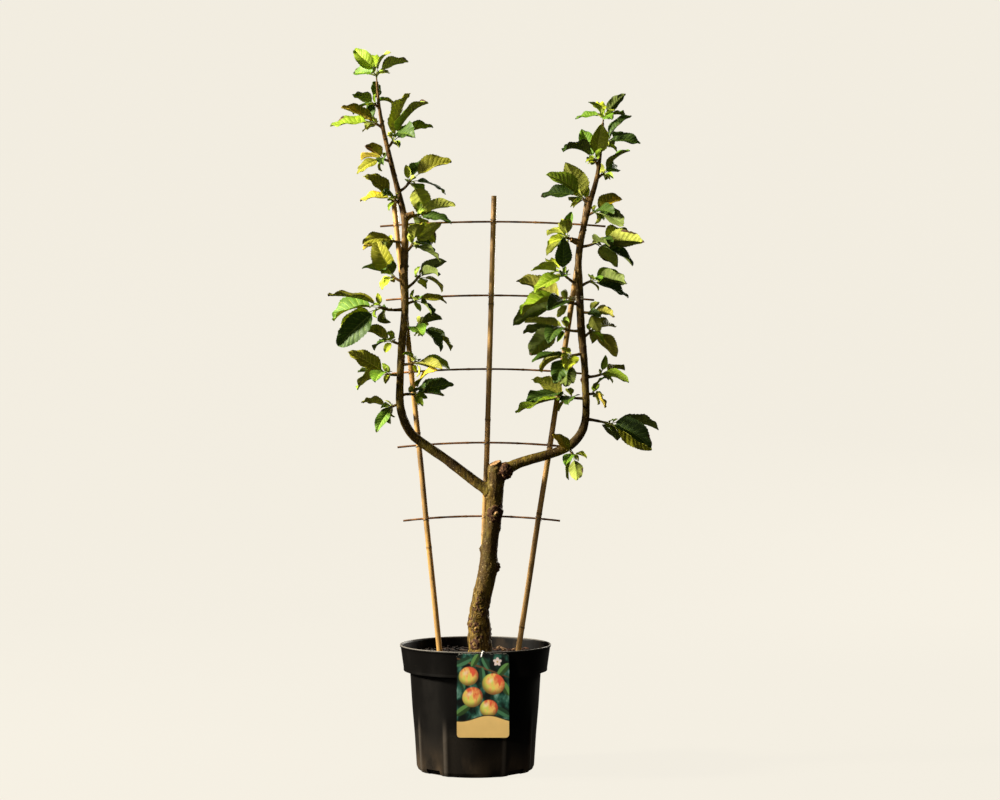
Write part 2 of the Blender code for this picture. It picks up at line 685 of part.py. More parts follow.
def clear_of_limbs(points, obstacles):
    """Whether all points stay LIMB_ROOM off every capsule."""
    starts, ends, radii = obstacles
    run = ends - starts
    offset = points[:, None] - starts
    share = np.clip((offset * run).sum(-1) / (run * run).sum(-1), 0.0, 1.0)
    gap = np.linalg.norm(offset - run * share[..., None], axis=-1) - radii
    return bool((gap > LIMB_ROOM).all())


def tree_of(leaves):
    """A KD tree of the sample points of all leaves placed so far."""
    points = np.vstack([leaf_samples(leaf) for leaf in leaves]) if leaves else np.empty((0, 3))
    tree = KDTree(len(points))
    for i, point in enumerate(points):
        tree.insert(point, i)
    tree.balance()
    return tree


def clear_of_leaves(points, tree):
    """Whether all points stay LEAF_ROOM off the points of earlier leaves."""
    gaps = (tree.find(point)[2] for point in points)
    return all(gap is None or gap > LEAF_ROOM for gap in gaps)


def draw_leaf(rng, root, spur_aim, angle, turn, size):
    """One random leaf: its stalk bends from the spur's aim to its own, and its upper side looks up and out."""
    along = aim_of(angle, turn)
    stalk = size * rng.uniform(*STALK_SHARE)
    knee = root + unit(spur_aim * 0.5 + along * 0.5) * stalk * 0.5
    foot = knee + unit(along + np.array([0.0, 0.0, 0.12])) * stalk * 0.5
    front = -1.0 if rng.random() < FRONT_SHARE else 1.0
    wish = np.array([rng.uniform(-0.4, 0.4), front * rng.uniform(0.1, 0.9), rng.uniform(0.35, 1.1)])
    up = unit(wish - along * (wish @ along))
    length = size * rng.uniform(0.84, 1.12)
    return {
        "root": root,
        "knee": knee,
        "foot": foot,
        "along": along,
        "up": up,
        "length": length,
        "width": length * LEAF_WIDTH * rng.uniform(0.86, 1.12),
        "fold": math.radians(rng.uniform(8, 34)),
        "droop": math.radians(rng.uniform(12, 60)),
        "twist": math.radians(rng.uniform(-26, 26)),
    }


def grow_mass(row, paths, obstacles, placed, rng):
    """The spur and leaves of one mass, by the leaf rule. A leaf that finds no room is skipped."""
    side, height, aim, turn, reach, aims, size = row
    path = paths[side]
    root, thick, along = at_height(path, height)
    spur_aim = aim_of(aim, turn)
    if height is None:
        root, thick, spur_aim = root + along * SEAT, 0.0, along
    start = root + spur_aim * thick
    tip = start + spur_aim * reach
    leaves = []
    for k, wished in enumerate((*aims, None)):
        share = k / len(aims)
        foot = start + (tip - start) * (0.86 - 0.9 * abs(share - 0.5) * rng.random())
        way = 1 if (k + len(placed)) % 2 else -1
        depth = STRAY_DEPTH if wished is None else FAN_DEPTH
        full = size * STRAY_SIZE if wished is None else size
        wished = rng.uniform(min(aims), max(aims)) if wished is None else wished
        tree = tree_of(placed)
        for attempt in range(TRIES):
            spread = SPREAD + attempt * SPREAD_PER_TRY
            angle = wished + rng.uniform(-spread, spread)
            turn_k = way * rng.uniform(*depth) * (-1 if attempt % 3 == 2 else 1)
            leaf = draw_leaf(rng, foot, spur_aim, angle, turn_k, full * (1 - SHRINK_PER_TRY * attempt))
            points = leaf_samples(leaf)
            if clear_of_limbs(points, obstacles) and clear_of_leaves(points, tree):
                leaves.append(leaf)
                placed.append(leaf)
                break
    return {"spur": (start, (start + tip) / 2, tip), "leaves": leaves}


def leaf_solid(name, leaf, collection):
    """A stalk and a lens-shaped blade in one: a sphere of four meridians drawn out along the leaf."""
    stations = [(0.0, -1.0), *((s, -1.0) for s in STALK_RINGS), *((1.0, u) for u in BLADE_RINGS), (1.0, 1.0)]
    side = np.cross(leaf["along"], leaf["up"])
    shape = bmesh.new()
    bmesh.ops.create_uvsphere(shape, u_segments=4, v_segments=len(stations) - 1, radius=1.0)
    for vertex in shape.verts:
        x, y, z = vertex.co
        ring = math.hypot(x, y)
        share, u = stations[round((1.0 - math.acos(max(-1.0, min(1.0, z))) / math.pi) * (len(stations) - 1))]
        v, lift = (round(x / ring), round(y / ring)) if ring > 0.01 else (0, 0)
        if u < 0.0:
            middle = petiole_points(leaf, (share,))[0]
            place = middle + (side * v + leaf["up"] * lift) * STALK_RADIUS
        else:
            place = blade_points(leaf, u, v, lift * BLADE_THICK / 2)
        vertex.co = place.tolist()
    bmesh.ops.recalc_face_normals(shape, faces=shape.faces)
    bmesh.ops.triangulate(shape, faces=shape.faces)
    mesh = bpy.data.meshes.new(name)
    shape.to_mesh(mesh)
    shape.free()
    return add_object(name, mesh, collection)


def twig_profile(cutters):
    """The three-sided section that every twig is swept along."""
    curve = bpy.data.curves.new("twig_section", "CURVE")
    curve.dimensions = "2D"
    curve.fill_mode = "NONE"
    spline = curve.splines.new("POLY")
    spline.points.add(2)
    spline.use_cyclic_u = True
    for i, point in enumerate(spline.points):
        turn = math.tau * i / 3
        point.co = (math.cos(turn), math.sin(turn), 0.0, 1.0)
    return as_helper(add_object("twig_section", curve, cutters))


def twig(name, points, radii, profile, collection):
    rows = [(*point, radius) for point, radius in zip(points, radii)]
    return to_mesh(tube(name, rows, 0, collection, profile), name, collection)


def build_mass(name, grown, cutter, profile, parts):
    """Fuses a mass: spur, stalks and blades in one union, then cut clear of its limb."""
    spur = grown["spur"]
    if cutter:
        spur = [spur[0] - (spur[1] - spur[0]) * 0.2, *spur[1:]]
    radii = (SPUR_RADIUS, SPUR_RADIUS * 0.9, SPUR_RADIUS * 0.75)
    obj = twig(name, spur, radii, profile, parts)
    pieces = make_collection(name + "_pieces")
    for k, leaf in enumerate(grown["leaves"]):
        leaf_solid(f"leaf_{k}", leaf, pieces)
    boolean(obj, "UNION", pieces)
    if cutter:
        boolean(obj, "DIFFERENCE", cutter)
    obj = to_mesh(obj, name, parts, "leaf")
    drop_collection(pieces)
    return obj


def build_tree(parts, cutters):
    """The trunk, which starts upright so that its foot is cut level, and the three stretches of each arm."""
    trunk_path = smooth_path(TRUNK, STEPS_PER_SPAN)
    trunk_path[1, :2] = trunk_path[0, :2]
    limb("trunk", trunk_path, trunk_path, TRUNK_KNOTS, TRUNK_ROUND, parts, "bark")
    swollen = as_helper(limb("trunk_cutter", trunk_path, trunk_path, TRUNK_KNOTS, TRUNK_ROUND, cutters, grow=SEAT))
    paths, cut = {}, {}
    for side, points, splits, knots in (
        ("left", LEFT_ARM, LEFT_SPLITS, LEFT_KNOTS),
        ("right", RIGHT_ARM, RIGHT_SPLITS, RIGHT_KNOTS),
    ):
        whole = smooth_path(points, STEPS_PER_SPAN)
        stretches = split_path(whole, [i * STEPS_PER_SPAN for i in splits])
        names = (f"{side}_arm_slant", f"{side}_arm_upright", f"{side}_leader")
        for name, path in zip(names, stretches):
            obj = limb(name, path, whole, knots, ARM_ROUND, parts, "bark")
            if name.endswith("slant"):
                boolean(obj, "DIFFERENCE", swollen)
                to_mesh(obj, name, parts, "bark")
            grown = limb(name + "_cutter", path, whole, knots, ARM_ROUND, cutters, grow=SEAT)
            cut[name] = as_helper(grown)
        paths[side] = whole
        cut[side] = [(stretches[0][-1][2], names[0]), (stretches[1][-1][2], names[1]), (9.0, names[2])]
    return trunk_path, paths, cut


def build_masses(trunk_path, paths, cut, parts, cutters):
    obstacles = capsules([trunk_path, *paths.values(), *cane_paths(), *bar_paths()])
    profile = twig_profile(cutters)
    placed = []
    for number, (name, row) in enumerate(MASSES.items()):
        rng = random.Random(SEED * 1000 + number)
        grown = grow_mass(row, paths, obstacles, placed, rng)
        side, height = row[:2]
        cutter = None
        if height is not None:
            cutter = cut[next(limb_name for top, limb_name in cut[side] if height < top)]
        obj = build_mass(name, grown, cutter, profile, parts)
        print(name, len(grown["leaves"]), "of", len(row[5]) + 1, "leaves", len(obj.data.polygons), "faces")


def main():
    clear_scene()
    parts = make_collection("potted_apple_espalier")
    cutters = make_collection("cutters")
    build_pot(parts, cutters)
    bores = build_trellis(parts, cutters)
    build_soil(parts, bores)
    build_label(parts)
    trunk_path, paths, cut = build_tree(parts, cutters)
    build_masses(trunk_path, paths, cut, parts, cutters)


main()
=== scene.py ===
import math
import random
from functools import lru_cache

import bpy
import numpy as np
from bpy.props import FloatProperty, FloatVectorProperty, IntProperty, PointerProperty
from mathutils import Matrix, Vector


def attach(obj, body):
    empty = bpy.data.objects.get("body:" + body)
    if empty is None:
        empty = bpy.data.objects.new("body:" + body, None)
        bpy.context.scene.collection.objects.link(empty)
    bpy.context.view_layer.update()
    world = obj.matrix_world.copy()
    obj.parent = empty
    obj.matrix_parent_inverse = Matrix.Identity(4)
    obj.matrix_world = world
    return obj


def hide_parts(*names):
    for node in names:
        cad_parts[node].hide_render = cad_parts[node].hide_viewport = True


# Looks of a potted apple tree that is trained as a flat U-shaped espalier on a bamboo trellis. Metres, +Z up.
# The crown lies in the XZ plane and faces -Y. The pot stands on z = 0.

bl_info = {
    "name": "Potted Espalier",
    "version": (1, 0, 0),
    "blender": (4, 5, 0),
    "location": "View3D > Sidebar > Espalier",
    "description": "Builds a potted apple espalier with its trellis, label and leaves",
    "category": "Add Mesh",
}

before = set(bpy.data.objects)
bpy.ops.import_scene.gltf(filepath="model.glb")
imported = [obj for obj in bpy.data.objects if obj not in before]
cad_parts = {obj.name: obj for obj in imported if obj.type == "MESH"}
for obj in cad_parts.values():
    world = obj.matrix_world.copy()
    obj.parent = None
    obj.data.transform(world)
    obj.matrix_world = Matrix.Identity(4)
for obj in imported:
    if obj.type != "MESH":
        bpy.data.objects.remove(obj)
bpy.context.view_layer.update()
BODY = "root"

# Clearance between two pieces that touch on the real plant.
SEAT = 0.0003

# Pot.
POT_HEIGHT = 0.198
RIM_RADIUS = 0.120
BAND_FOOT_RADIUS = 0.1136
BAND_DEPTH = 0.041
LIP_HEIGHT = 0.0032
LIP_PROUD = 0.0012
BAND_FOOT = POT_HEIGHT - BAND_DEPTH
LIP_FOOT = POT_HEIGHT - LIP_HEIGHT
BODY_TOP_RADIUS = 0.1040
BODY_FOOT_RADIUS = 0.0945
FOOT_ROUND = 0.007
POT_WALL = 0.0018
NOTCH_WIDTH = 0.030
NOTCH_HEIGHT = 0.009
NOTCH_DEPTH = 0.012
NOTCH_COUNT = 4
# Half length of the box that cuts a notch.
NOTCH_HALF = 0.02
# Angle from a notch's middle to the soft ribs beside it, and the spread of a rib.
RIB_TURN = math.radians(17)
RIB_SPREAD = math.radians(3.2)

# Compost.
SOIL_LEVEL = 0.180
SOIL_HEAP = 0.003

# Plant label.
LABEL_SIZE = (0.080, 0.128)
LABEL_X = 0.013
LABEL_TOP = 0.1955
LABEL_THICK = 0.0008
LABEL_CORNER = 0.005
STRAP_REACH = 0.010
LABEL_MIDDLE = (LABEL_X, -RIM_RADIUS, LABEL_TOP - LABEL_SIZE[1] / 2)

# Limbs: x, y, z and radius of the points that each smooth centreline runs through.
TRUNK = (
    (0.0080, 0.000, SOIL_LEVEL + SOIL_HEAP + SEAT, 0.0205),
    (0.0080, 0.000, 0.1960, 0.0180),
    (0.0062, 0.000, 0.2350, 0.0168),
    (0.0100, -0.001, 0.2700, 0.0152),
    (0.0190, -0.001, 0.3120, 0.0146),
    (0.0226, 0.000, 0.3520, 0.0131),
    (0.0280, 0.000, 0.4000, 0.0133),
    (0.0312, 0.000, 0.4400, 0.0131),
    (0.0340, 0.000, 0.4720, 0.0126),
    (0.0345, 0.000, 0.4875, 0.0104),
)
LEFT_ARM = (
    (0.0270, 0.000, 0.4360, 0.0090),
    (-0.0059, 0.000, 0.4599, 0.0082),
    (-0.0424, 0.001, 0.4879, 0.0078),
    (-0.0791, 0.000, 0.5136, 0.0075),
    (-0.1010, -0.001, 0.5310, 0.0073),
    (-0.1140, -0.001, 0.5540, 0.0068),
    (-0.1205, 0.000, 0.5860, 0.0062),
    (-0.1183, 0.001, 0.6607, 0.0062),
    (-0.1127, 0.000, 0.7250, 0.0063),
    (-0.1133, -0.001, 0.7994, 0.0060),
    (-0.1122, -0.001, 0.8600, 0.0054),
    (-0.1165, 0.000, 0.8900, 0.0047),
    (-0.1335, 0.001, 0.9588, 0.0040),
    (-0.1478, 0.000, 1.0194, 0.0032),
    (-0.1545, -0.001, 1.0600, 0.0024),
    (-0.1575, 0.000, 1.0940, 0.0018),
)
RIGHT_ARM = (
    (0.0380, 0.000, 0.4685, 0.0105),
    (0.0600, 0.000, 0.4812, 0.0086),
    (0.0816, 0.000, 0.4895, 0.0078),
    (0.1235, 0.001, 0.5012, 0.0075),
    (0.1518, 0.001, 0.5145, 0.0074),
    (0.1690, 0.000, 0.5350, 0.0068),
    (0.1757, -0.001, 0.5620, 0.0060),
    (0.1753, -0.001, 0.6100, 0.0056),
    (0.1732, 0.000, 0.6486, 0.0060),
    (0.1690, 0.001, 0.6950, 0.0063),
    (0.1658, 0.000, 0.7611, 0.0064),
    (0.1643, -0.001, 0.8090, 0.0057),
    (0.1690, 0.000, 0.8450, 0.0050),
    (0.1800, 0.001, 0.8918, 0.0043),
    (0.1940, 0.000, 0.9428, 0.0035),
    (0.2000, -0.001, 0.9920, 0.0026),
    (0.2035, 0.000, 1.0280, 0.0018),
)
STEPS_PER_SPAN = 3

# Knots and pruned stubs: height, bearing (0 right, -90 to the front), radius, and how far they stand out.
TRUNK_KNOTS = (
    (0.1990, -120, 0.0085, 0.0030),
    (0.2330, -150, 0.0075, 0.0030),
    (0.2520, -75, 0.0065, 0.0030),
    (0.3215, 0, 0.0070, 0.0062),
    (0.3480, 180, 0.0035, 0.0035),
    (0.3830, 5, 0.0045, 0.0022),
    (0.4060, -80, 0.0062, 0.0040),
    (0.4690, -8, 0.0115, 0.0040),
)
LEFT_KNOTS = (
    (0.6480, -60, 0.0034, 0.0030),
    (0.7960, 185, 0.0040, 0.0026),
    (0.8780, -20, 0.0038, 0.0120),
)
RIGHT_KNOTS = (
    (0.6180, 170, 0.0032, 0.0030),
    (0.7400, -100, 0.0040, 0.0026),
    (0.8360, 195, 0.0046, 0.0110),
)
# A knot that stands out further than this is a pruned stub with a sawn end.
STUB_PROUD = 0.008
# A stub's rings: their places along it, and their radii as shares of the knot's.
STUB_SHARES = np.array([0.0, 0.45, 0.62, 0.74, 0.84, 0.92, 0.97, 0.99, 0.985])
STUB_SWELLS = np.array([1.15, 1.15, 1.02, 0.92, 0.88, 0.93, 0.98, 0.86, 0.62])
STUB_SAWN_FROM = 7
STUB_SIDES = 14
# Reach of the smooth joint between an arm and the trunk.
JOINT_REACH = 0.010
# A hollow under the left arm and the swelling of the root: height, bearing, radius, rise.
TRUNK_BELLS = ((0.4120, 180, 0.0200, -0.0014), (0.2040, 180, 0.0090, 0.0028))
# Heights of the ring scars where a year's growth ended.
LEFT_SCARS = (0.5500, 0.7000, 0.8960, 1.0250)
RIGHT_SCARS = (0.5400, 0.6700, 0.8520, 0.9600)
# Callus rings on the trunk's front that are too low for a knot of their own: height, bearing, radius, rise.
TRUNK_SCARS = (
    (0.4055, -72, 0.0160, 0.0044),
    (0.3230, -14, 0.0085, 0.0034),
    (0.2785, -112, 0.0052, 0.0020),
    (0.2680, -100, 0.0066, 0.0018),
    (0.2570, -118, 0.0070, 0.0020),
    (0.2480, -5, 0.0110, -0.0020),
    (0.2440, -96, 0.0062, 0.0018),
    (0.2240, -108, 0.0095, 0.0024),
    (0.2060, -92, 0.0078, 0.0020),
    (0.2120, 10, 0.0120, 0.0018),
    (0.2650, 100, 0.0080, 0.0020),
    (0.3500, 80, 0.0070, 0.0020),
)
# How far the trunk's bark runs on into the compost.
TRUNK_SUNK = 0.004
# Wrinkled burl where the right arm leaves the trunk: its middle and its three half sizes.
BURL = ((0.0478, -0.0030, 0.4728), (0.0124, 0.0128, 0.0142))

# Trellis.
CANE_RADIUS = 0.0044
CANE_TOP = 0.913
CANE_FOOT = 0.055
CANE_FEET_X = (-0.0576, 0.0081, 0.0678)
CANE_TOPS_X = (-0.1318, 0.0297, 0.1800)
CANE_FOOT_Y = 0.0290
CANE_TOP_Y = 0.0130
CANE_JOINT_GAP = 0.185
CANE_JOINT_SWELL = 1.13
CANE_FIRST_JOINTS = (0.111, 0.130, 0.168)
BAR_RADIUS = 0.0016
BAR_COUNT = 5
FIRST_BAR = 0.3995
BAR_RISE = 0.1182
FIRST_BAR_SPAN = 0.252
BAR_SPAN_RISE = 0.0275
FIRST_BAR_MIDDLE = 0.0095
BAR_MIDDLE_RISE = 0.0045
BAR_BOW = 0.0075
# How far the bars' axes lie behind the canes' axes.
BAR_BEHIND = CANE_RADIUS + BAR_RADIUS + SEAT
# Height of the tie round the right arm and its cane.
TIE_HEIGHT = 0.745

# Leaf rule.
SEED = 63
TRIES = 160
LEAF_ROOM = 0.0042
LIMB_ROOM = 0.0034
SPUR_RADIUS = 0.0020
LEAF_WIDTH = 0.56
STALK_SHARE = (0.20, 0.36)
FAN_DEPTH = (4, 44)
STRAY_DEPTH = (50, 80)
STRAY_SIZE = 0.86
FRONT_SHARE = 0.72
SPREAD = 3.0
SPREAD_PER_TRY = 0.4
SHRINK_PER_TRY = 0.002
SAMPLES_ALONG = 13
SAMPLES_ACROSS = 9

# Leaf masses: limb, height of the spur, its aim in the picture plane (0 right, 90 up), its turn to the back,
# its length, the aims of its leaves, and the length of a leaf. One more leaf of each mass, of random aim, grows
# towards the front or the back. The word at the end has one letter of LEAF_TONES for each leaf.
MASSES = {
    "foliage_left_low_outer": ("left", 0.580, 200, -10, 0.008, (233, 163), 0.046, "mod"),
    "foliage_left_low_inner": ("left", 0.592, 8, 15, 0.014, (8, 18, 66), 0.058, "mdyd"),
    "foliage_left_second_outer": ("left", 0.626, 178, -15, 0.014, (170, 150, 184), 0.060, "dobm"),
    "foliage_left_second_inner": ("left", 0.642, 8, -25, 0.020, (-14, 8), 0.056, "obd"),
    "foliage_left_third_outer": ("left", 0.674, 160, 25, 0.012, (150, 186), 0.044, "odm"),
    "foliage_left_third_inner": ("left", 0.698, 8, -10, 0.018, (27, -18, -34), 0.058, "dbdm"),
    "foliage_left_fourth_outer": ("left", 0.730, 176, -15, 0.034, (176, 206, 222, 160), 0.074, "mldod"),
    "foliage_left_fourth_inner": ("left", 0.737, 25, 20, 0.010, (14, -6), 0.050, "odm"),
    "foliage_left_fifth_outer": ("left", 0.772, 150, 20, 0.016, (146, 122), 0.056, "dod"),
    "foliage_left_fifth_inner": ("left", 0.762, 42, -10, 0.024, (26, -10, 50), 0.046, "dudm"),
    "foliage_left_sixth_outer": ("left", 0.836, 172, -10, 0.020, (164, 182, 200), 0.050, "oydd"),
    "foliage_left_sixth_inner": ("left", 0.820, 45, -30, 0.014, (6, 40, 72, -16), 0.048, "dlldm"),
    "foliage_left_seventh_inner": ("left", 0.870, 28, 5, 0.022, (-10, 20, -42), 0.056, "dbld"),
    "foliage_left_seventh_outer": ("left", 0.896, 140, -15, 0.008, (134, 166), 0.060, "oym"),
    "foliage_left_eighth_inner": ("left", 0.918, 42, -10, 0.022, (-66, -2, 30, 64), 0.058, "bdodd"),
    "foliage_left_ninth_inner": ("left", 0.988, 55, 10, 0.010, (56, 34, 78), 0.070, "bbod"),
    "foliage_left_ninth_outer": ("left", 0.966, 160, -10, 0.008, (136, 160, 200), 0.043, "ryod"),
    "foliage_left_tenth_outer": ("left", 1.020, 150, -10, 0.010, (151, 120, 176), 0.054, "ydbm"),
    "foliage_left_eleventh": ("left", 1.052, 140, 20, 0.008, (146, 24, 64, 180), 0.042, "dmmdm"),
    "foliage_left_top": ("left", None, 95, 0, 0.010, (128, 28, 70, 104, 160), 0.044, "bmlbmm"),
    "foliage_right_bend": ("right", 0.512, 300, -30, 0.008, (134, 280, 246), 0.040, "ymlm"),
    "foliage_right_low_outer": ("right", 0.556, -12, 5, 0.036, (-19, -34, 4), 0.068, "dodd"),
    "foliage_right_second_inner": ("right", 0.588, 176, -5, 0.022, (172, 188, 180), 0.074, "dbod"),
    "foliage_right_second_outer": ("right", 0.594, 10, 30, 0.008, (-34, 76), 0.034, "ymd"),
    "foliage_right_third_outer": ("right", 0.622, 10, -10, 0.020, (-4, 24), 0.046, "bod"),
    "foliage_right_third_inner": ("right", 0.660, 190, -20, 0.020, (176, 190, 238, 268), 0.056, "doddl"),
    "foliage_right_fourth_inner": ("right", 0.696, 172, 5, 0.024, (178, 162, 212), 0.066, "dudd"),
    "foliage_right_fourth_outer": ("right", 0.684, 40, 0, 0.014, (28, 64, -38), 0.052, "olom"),
    "foliage_right_fifth_inner": ("right", 0.738, 172, -25, 0.016, (177, 196, 166), 0.076, "bdod"),
    "foliage_right_fifth_outer": ("right", 0.726, -5, -25, 0.010, (2, -28), 0.036, "obd"),
    "foliage_right_sixth_outer": ("right", 0.766, 28, 10, 0.014, (3, 24, -16), 0.056, "dbdm"),
    "foliage_right_sixth_inner": ("right", 0.766, 142, -15, 0.032, (200, 167, 118, 84), 0.046, "blldm"),
    "foliage_right_seventh_inner": ("right", 0.836, 160, -10, 0.018, (142, 114, 180, 82, 212), 0.037, "lllmlm"),
    "foliage_right_seventh_outer": ("right", 0.830, 15, -5, 0.022, (5, -24, 30, -50), 0.064, "bdlmd"),
    "foliage_right_eighth_outer": ("right", 0.880, 25, -20, 0.010, (-26, 37, 8), 0.053, "dyod"),
    "foliage_right_eighth_inner": ("right", 0.896, 130, 5, 0.010, (113, 138, 160), 0.058, "lbdm"),
    "foliage_right_ninth_outer": ("right", 0.938, 40, 10, 0.010, (32, 58), 0.046, "mmd"),
    "foliage_right_ninth_inner": ("right", 0.958, 120, -15, 0.008, (146, 74, 110), 0.055, "dlmd"),
    "foliage_right_tenth_outer": ("right", 0.992, 30, -10, 0.008, (10, 38, 64), 0.047, "dmdm"),
    "foliage_right_top": ("right", None, 85, 0, 0.008, (128, 104, 170, 50, 80, 28), 0.039, "mlmdlmm"),
}

# Colours of a leaf's upper side, its under side and its veins, each a plain colour in linear RGB: deep, middle
# and bright green, lime, olive, yellow, russet and the pale green of leaves that show their under side.
LEAF_TONES = {
    "d": ((0.043, 0.086, 0.008), (0.149, 0.186, 0.039), (0.133, 0.208, 0.026)),
    "m": ((0.106, 0.216, 0.011), (0.298, 0.337, 0.056), (0.298, 0.408, 0.047)),
    "b": ((0.227, 0.338, 0.013), (0.390, 0.416, 0.062), (0.494, 0.559, 0.072)),
    "l": ((0.407, 0.473, 0.019), (0.484, 0.517, 0.077), (0.616, 0.660, 0.105)),
    "o": ((0.231, 0.228, 0.011), (0.370, 0.347, 0.050), (0.524, 0.485, 0.069)),
    "y": ((0.520, 0.370, 0.010), (0.560, 0.430, 0.045), (0.620, 0.500, 0.070)),
    "r": ((0.190, 0.065, 0.014), (0.210, 0.100, 0.030), (0.340, 0.200, 0.060)),
    "u": ((0.265, 0.276, 0.039), (0.425, 0.425, 0.083), (0.575, 0.575, 0.138)),
}
# Autumn tints: the tone that the rest of a leaf still has, up to a slanting line across it.
SECOND_TONES = {"y": "o", "r": "y"}
# Tone of the small leaves that unfold at a spur's tip.
YOUNG_TONES = "blb"

# Stations across a leaf, from edge to edge, and along one stretch from vein to vein.
LEAF_COLUMNS = (-1.0, -0.74, -0.42, -0.17, -0.04, 0.04, 0.17, 0.42, 0.74, 1.0)
SMALL_COLUMNS = (-1.0, -0.5, -0.06, 0.06, 0.5, 1.0)
VEIN_MARKS = (0.05, 0.35, 0.65, 0.95)
LEAF_VEINS = 9
SMALL_VEINS = 4
# A leaf shorter than this has the coarser grid.
SMALL_LEAF = 0.030
# Radius of a leaf's stalk, and how it swells along its length.
STALK_RADIUS = 0.00062
SMALL_STALK_RADIUS = 0.00045
STALK_SWELLS = np.array([1.9, 1.35, 1.05, 1.0, 1.0, 1.0, 1.0, 1.05, 1.0, 0.7])

# Label picture: motifs as their place (x, z) in metres from the card's middle, turn in degrees, half length and
# half width.
PICTURE_FOOT = -0.034
PICTURE_WAVE = 0.0045
PICTURE_TWIG = ((-0.004, 0.044), -20, 0.046, 0.0015)
PICTURE_LEAVES = (
    ((-0.030, 0.052), 205, 0.0130, 0.0055),
    ((-0.012, 0.054), 62, 0.0110, 0.0050),
    ((0.004, 0.050), 118, 0.0110, 0.0045),
    ((0.031, 0.040), 48, 0.0125, 0.0055),
    ((-0.033, 0.022), -70, 0.0120, 0.0048),
    ((0.034, 0.012), -62, 0.0130, 0.0055),
    ((-0.001, 0.031), -84, 0.0125, 0.0048),
    ((-0.031, -0.022), 35, 0.0140, 0.0058),
    ((0.029, -0.024), 150, 0.0140, 0.0055),
)
PICTURE_FRUITS = (
    ((-0.022, 0.030), 20, 0.0150, 0.0142),
    ((0.016, 0.018), -12, 0.0172, 0.0162),
    ((-0.016, -0.002), 35, 0.0158, 0.0150),
    ((0.009, -0.019), 10, 0.0138, 0.0130),
)
# Blossom: its middle, its number of petals, and half the length of one.
BLOSSOM = (0.022, 0.052)
BLOSSOM_PETALS = 5
PETAL = 0.0034


def length_setting(name, description, default):
    """A setting in metres."""
    return FloatProperty(
        name=name, description=description, default=default, subtype="DISTANCE", unit="LENGTH"
    )


def share_setting(name, description, default):
    """A setting that is a plain number."""
    return FloatProperty(name=name, description=description, default=default)


def power_setting(name, description, default):
    """A setting in watts."""
    return FloatProperty(name=name, description=description, default=default, unit="POWER")


def count_setting(name, description, default, least):
    """A setting that is a whole number."""
    return IntProperty(name=name, description=description, default=default, min=least)


def colour_setting(name, description, *default):
    """A setting for a colour, in linear RGB."""
    return FloatVectorProperty(name=name, description=description, default=default, subtype="COLOR")


class PotSettings(bpy.types.PropertyGroup):
    """Relief and colours of the pot"""

    sides: count_setting("Sides", "Faces round the pot", 160, 24)
    rib_proud: length_setting("Foot ribs", "How far the soft ribs beside the notches stand out", 0.0018)
    panel_sunk: length_setting("Foot panels", "How far the foot is sunk between its ribs", 0.0012)
    plastic: colour_setting("Plastic", "Colour of the pot", 0.0026, 0.0022, 0.0019)
    # Dust is also the base colour of the painted highlights on the foot ribs and of the painted light round the
    # foot.
    dust: colour_setting("Dust", "Colour of dust and scuffs", 0.0094, 0.0078, 0.0063)


class CompostSettings(bpy.types.PropertyGroup):
    """Relief, flakes and colour of the compost"""

    relief: length_setting("Relief", "Height of the compost's lumps", 0.0022)
    flakes: count_setting("Flakes", "Number of bark flakes", 520, 1)
    earth: colour_setting("Earth", "Colour of the compost", 0.022, 0.012, 0.007)


class LabelSettings(bpy.types.PropertyGroup):
    """Bow, hook and colours of the plant label"""

    bow: length_setting("Bow", "How far the card's middle stands off a flat card", 0.0012)
    hook: length_setting("Hook", "Radius of the white hook", 0.0011)
    card: colour_setting("Card", "Colour of the plain band", 0.900, 0.600, 0.215)
    ground: colour_setting("Ground", "Colour behind the picture", 0.004, 0.030, 0.021)


class TreeSettings(bpy.types.PropertyGroup):
    """Relief and colours of the trunk and arms"""

    trunk_sides: count_setting("Trunk sides", "Faces round the trunk", 96, 16)
    arm_sides: count_setting("Arm sides", "Faces round an arm", 36, 12)
    furrow: length_setting("Furrows", "Depth of the trunk's bark relief", 0.0010)
    lenticel: length_setting("Lenticels", "Height of the corky pores", 0.00035)
    old_bark: colour_setting("Old bark", "Colour of the trunk", 0.118, 0.069, 0.012)
    young_bark: colour_setting("Young bark", "Colour of the leaders", 0.170, 0.090, 0.026)


class TrellisSettings(bpy.types.PropertyGroup):
    """Wire and colours of the trellis"""

    wire: length_setting("Wire", "Radius of the tie wires", 0.00040)
    cane: colour_setting("Canes", "Colour of the bamboo", 0.470, 0.265, 0.075)
    bar: colour_setting("Bars", "Colour of the thin bars", 0.390, 0.175, 0.062)


class LeafSettings(bpy.types.PropertyGroup):
    """Shape of the blades and number of the small leaves"""

    thick: length_setting("Thickness", "Thickness of a blade at its middle", 0.00045)
    tooth: share_setting("Teeth", "Depth of the teeth as a share of the half width", 0.075)
    full: share_setting("Fullness", "How much fuller a blade is than its solid", 0.10)
    cup: share_setting("Cup", "Largest rise or fall of the edges, of the length", 0.055)
    slant: share_setting("Vein slant", "How far a vein runs forward, of the length", 0.20)
    quilt: share_setting("Quilting", "Bulge between the veins, of the length", 0.016)
    groove: share_setting("Groove", "Depth of the midrib's groove, of the length", 0.012)
    ripple: share_setting("Ripple", "Largest wave of the edge, of the length", 0.050)
    young: count_setting("Young leaves", "Small leaves tried at each spur", 4, 0)


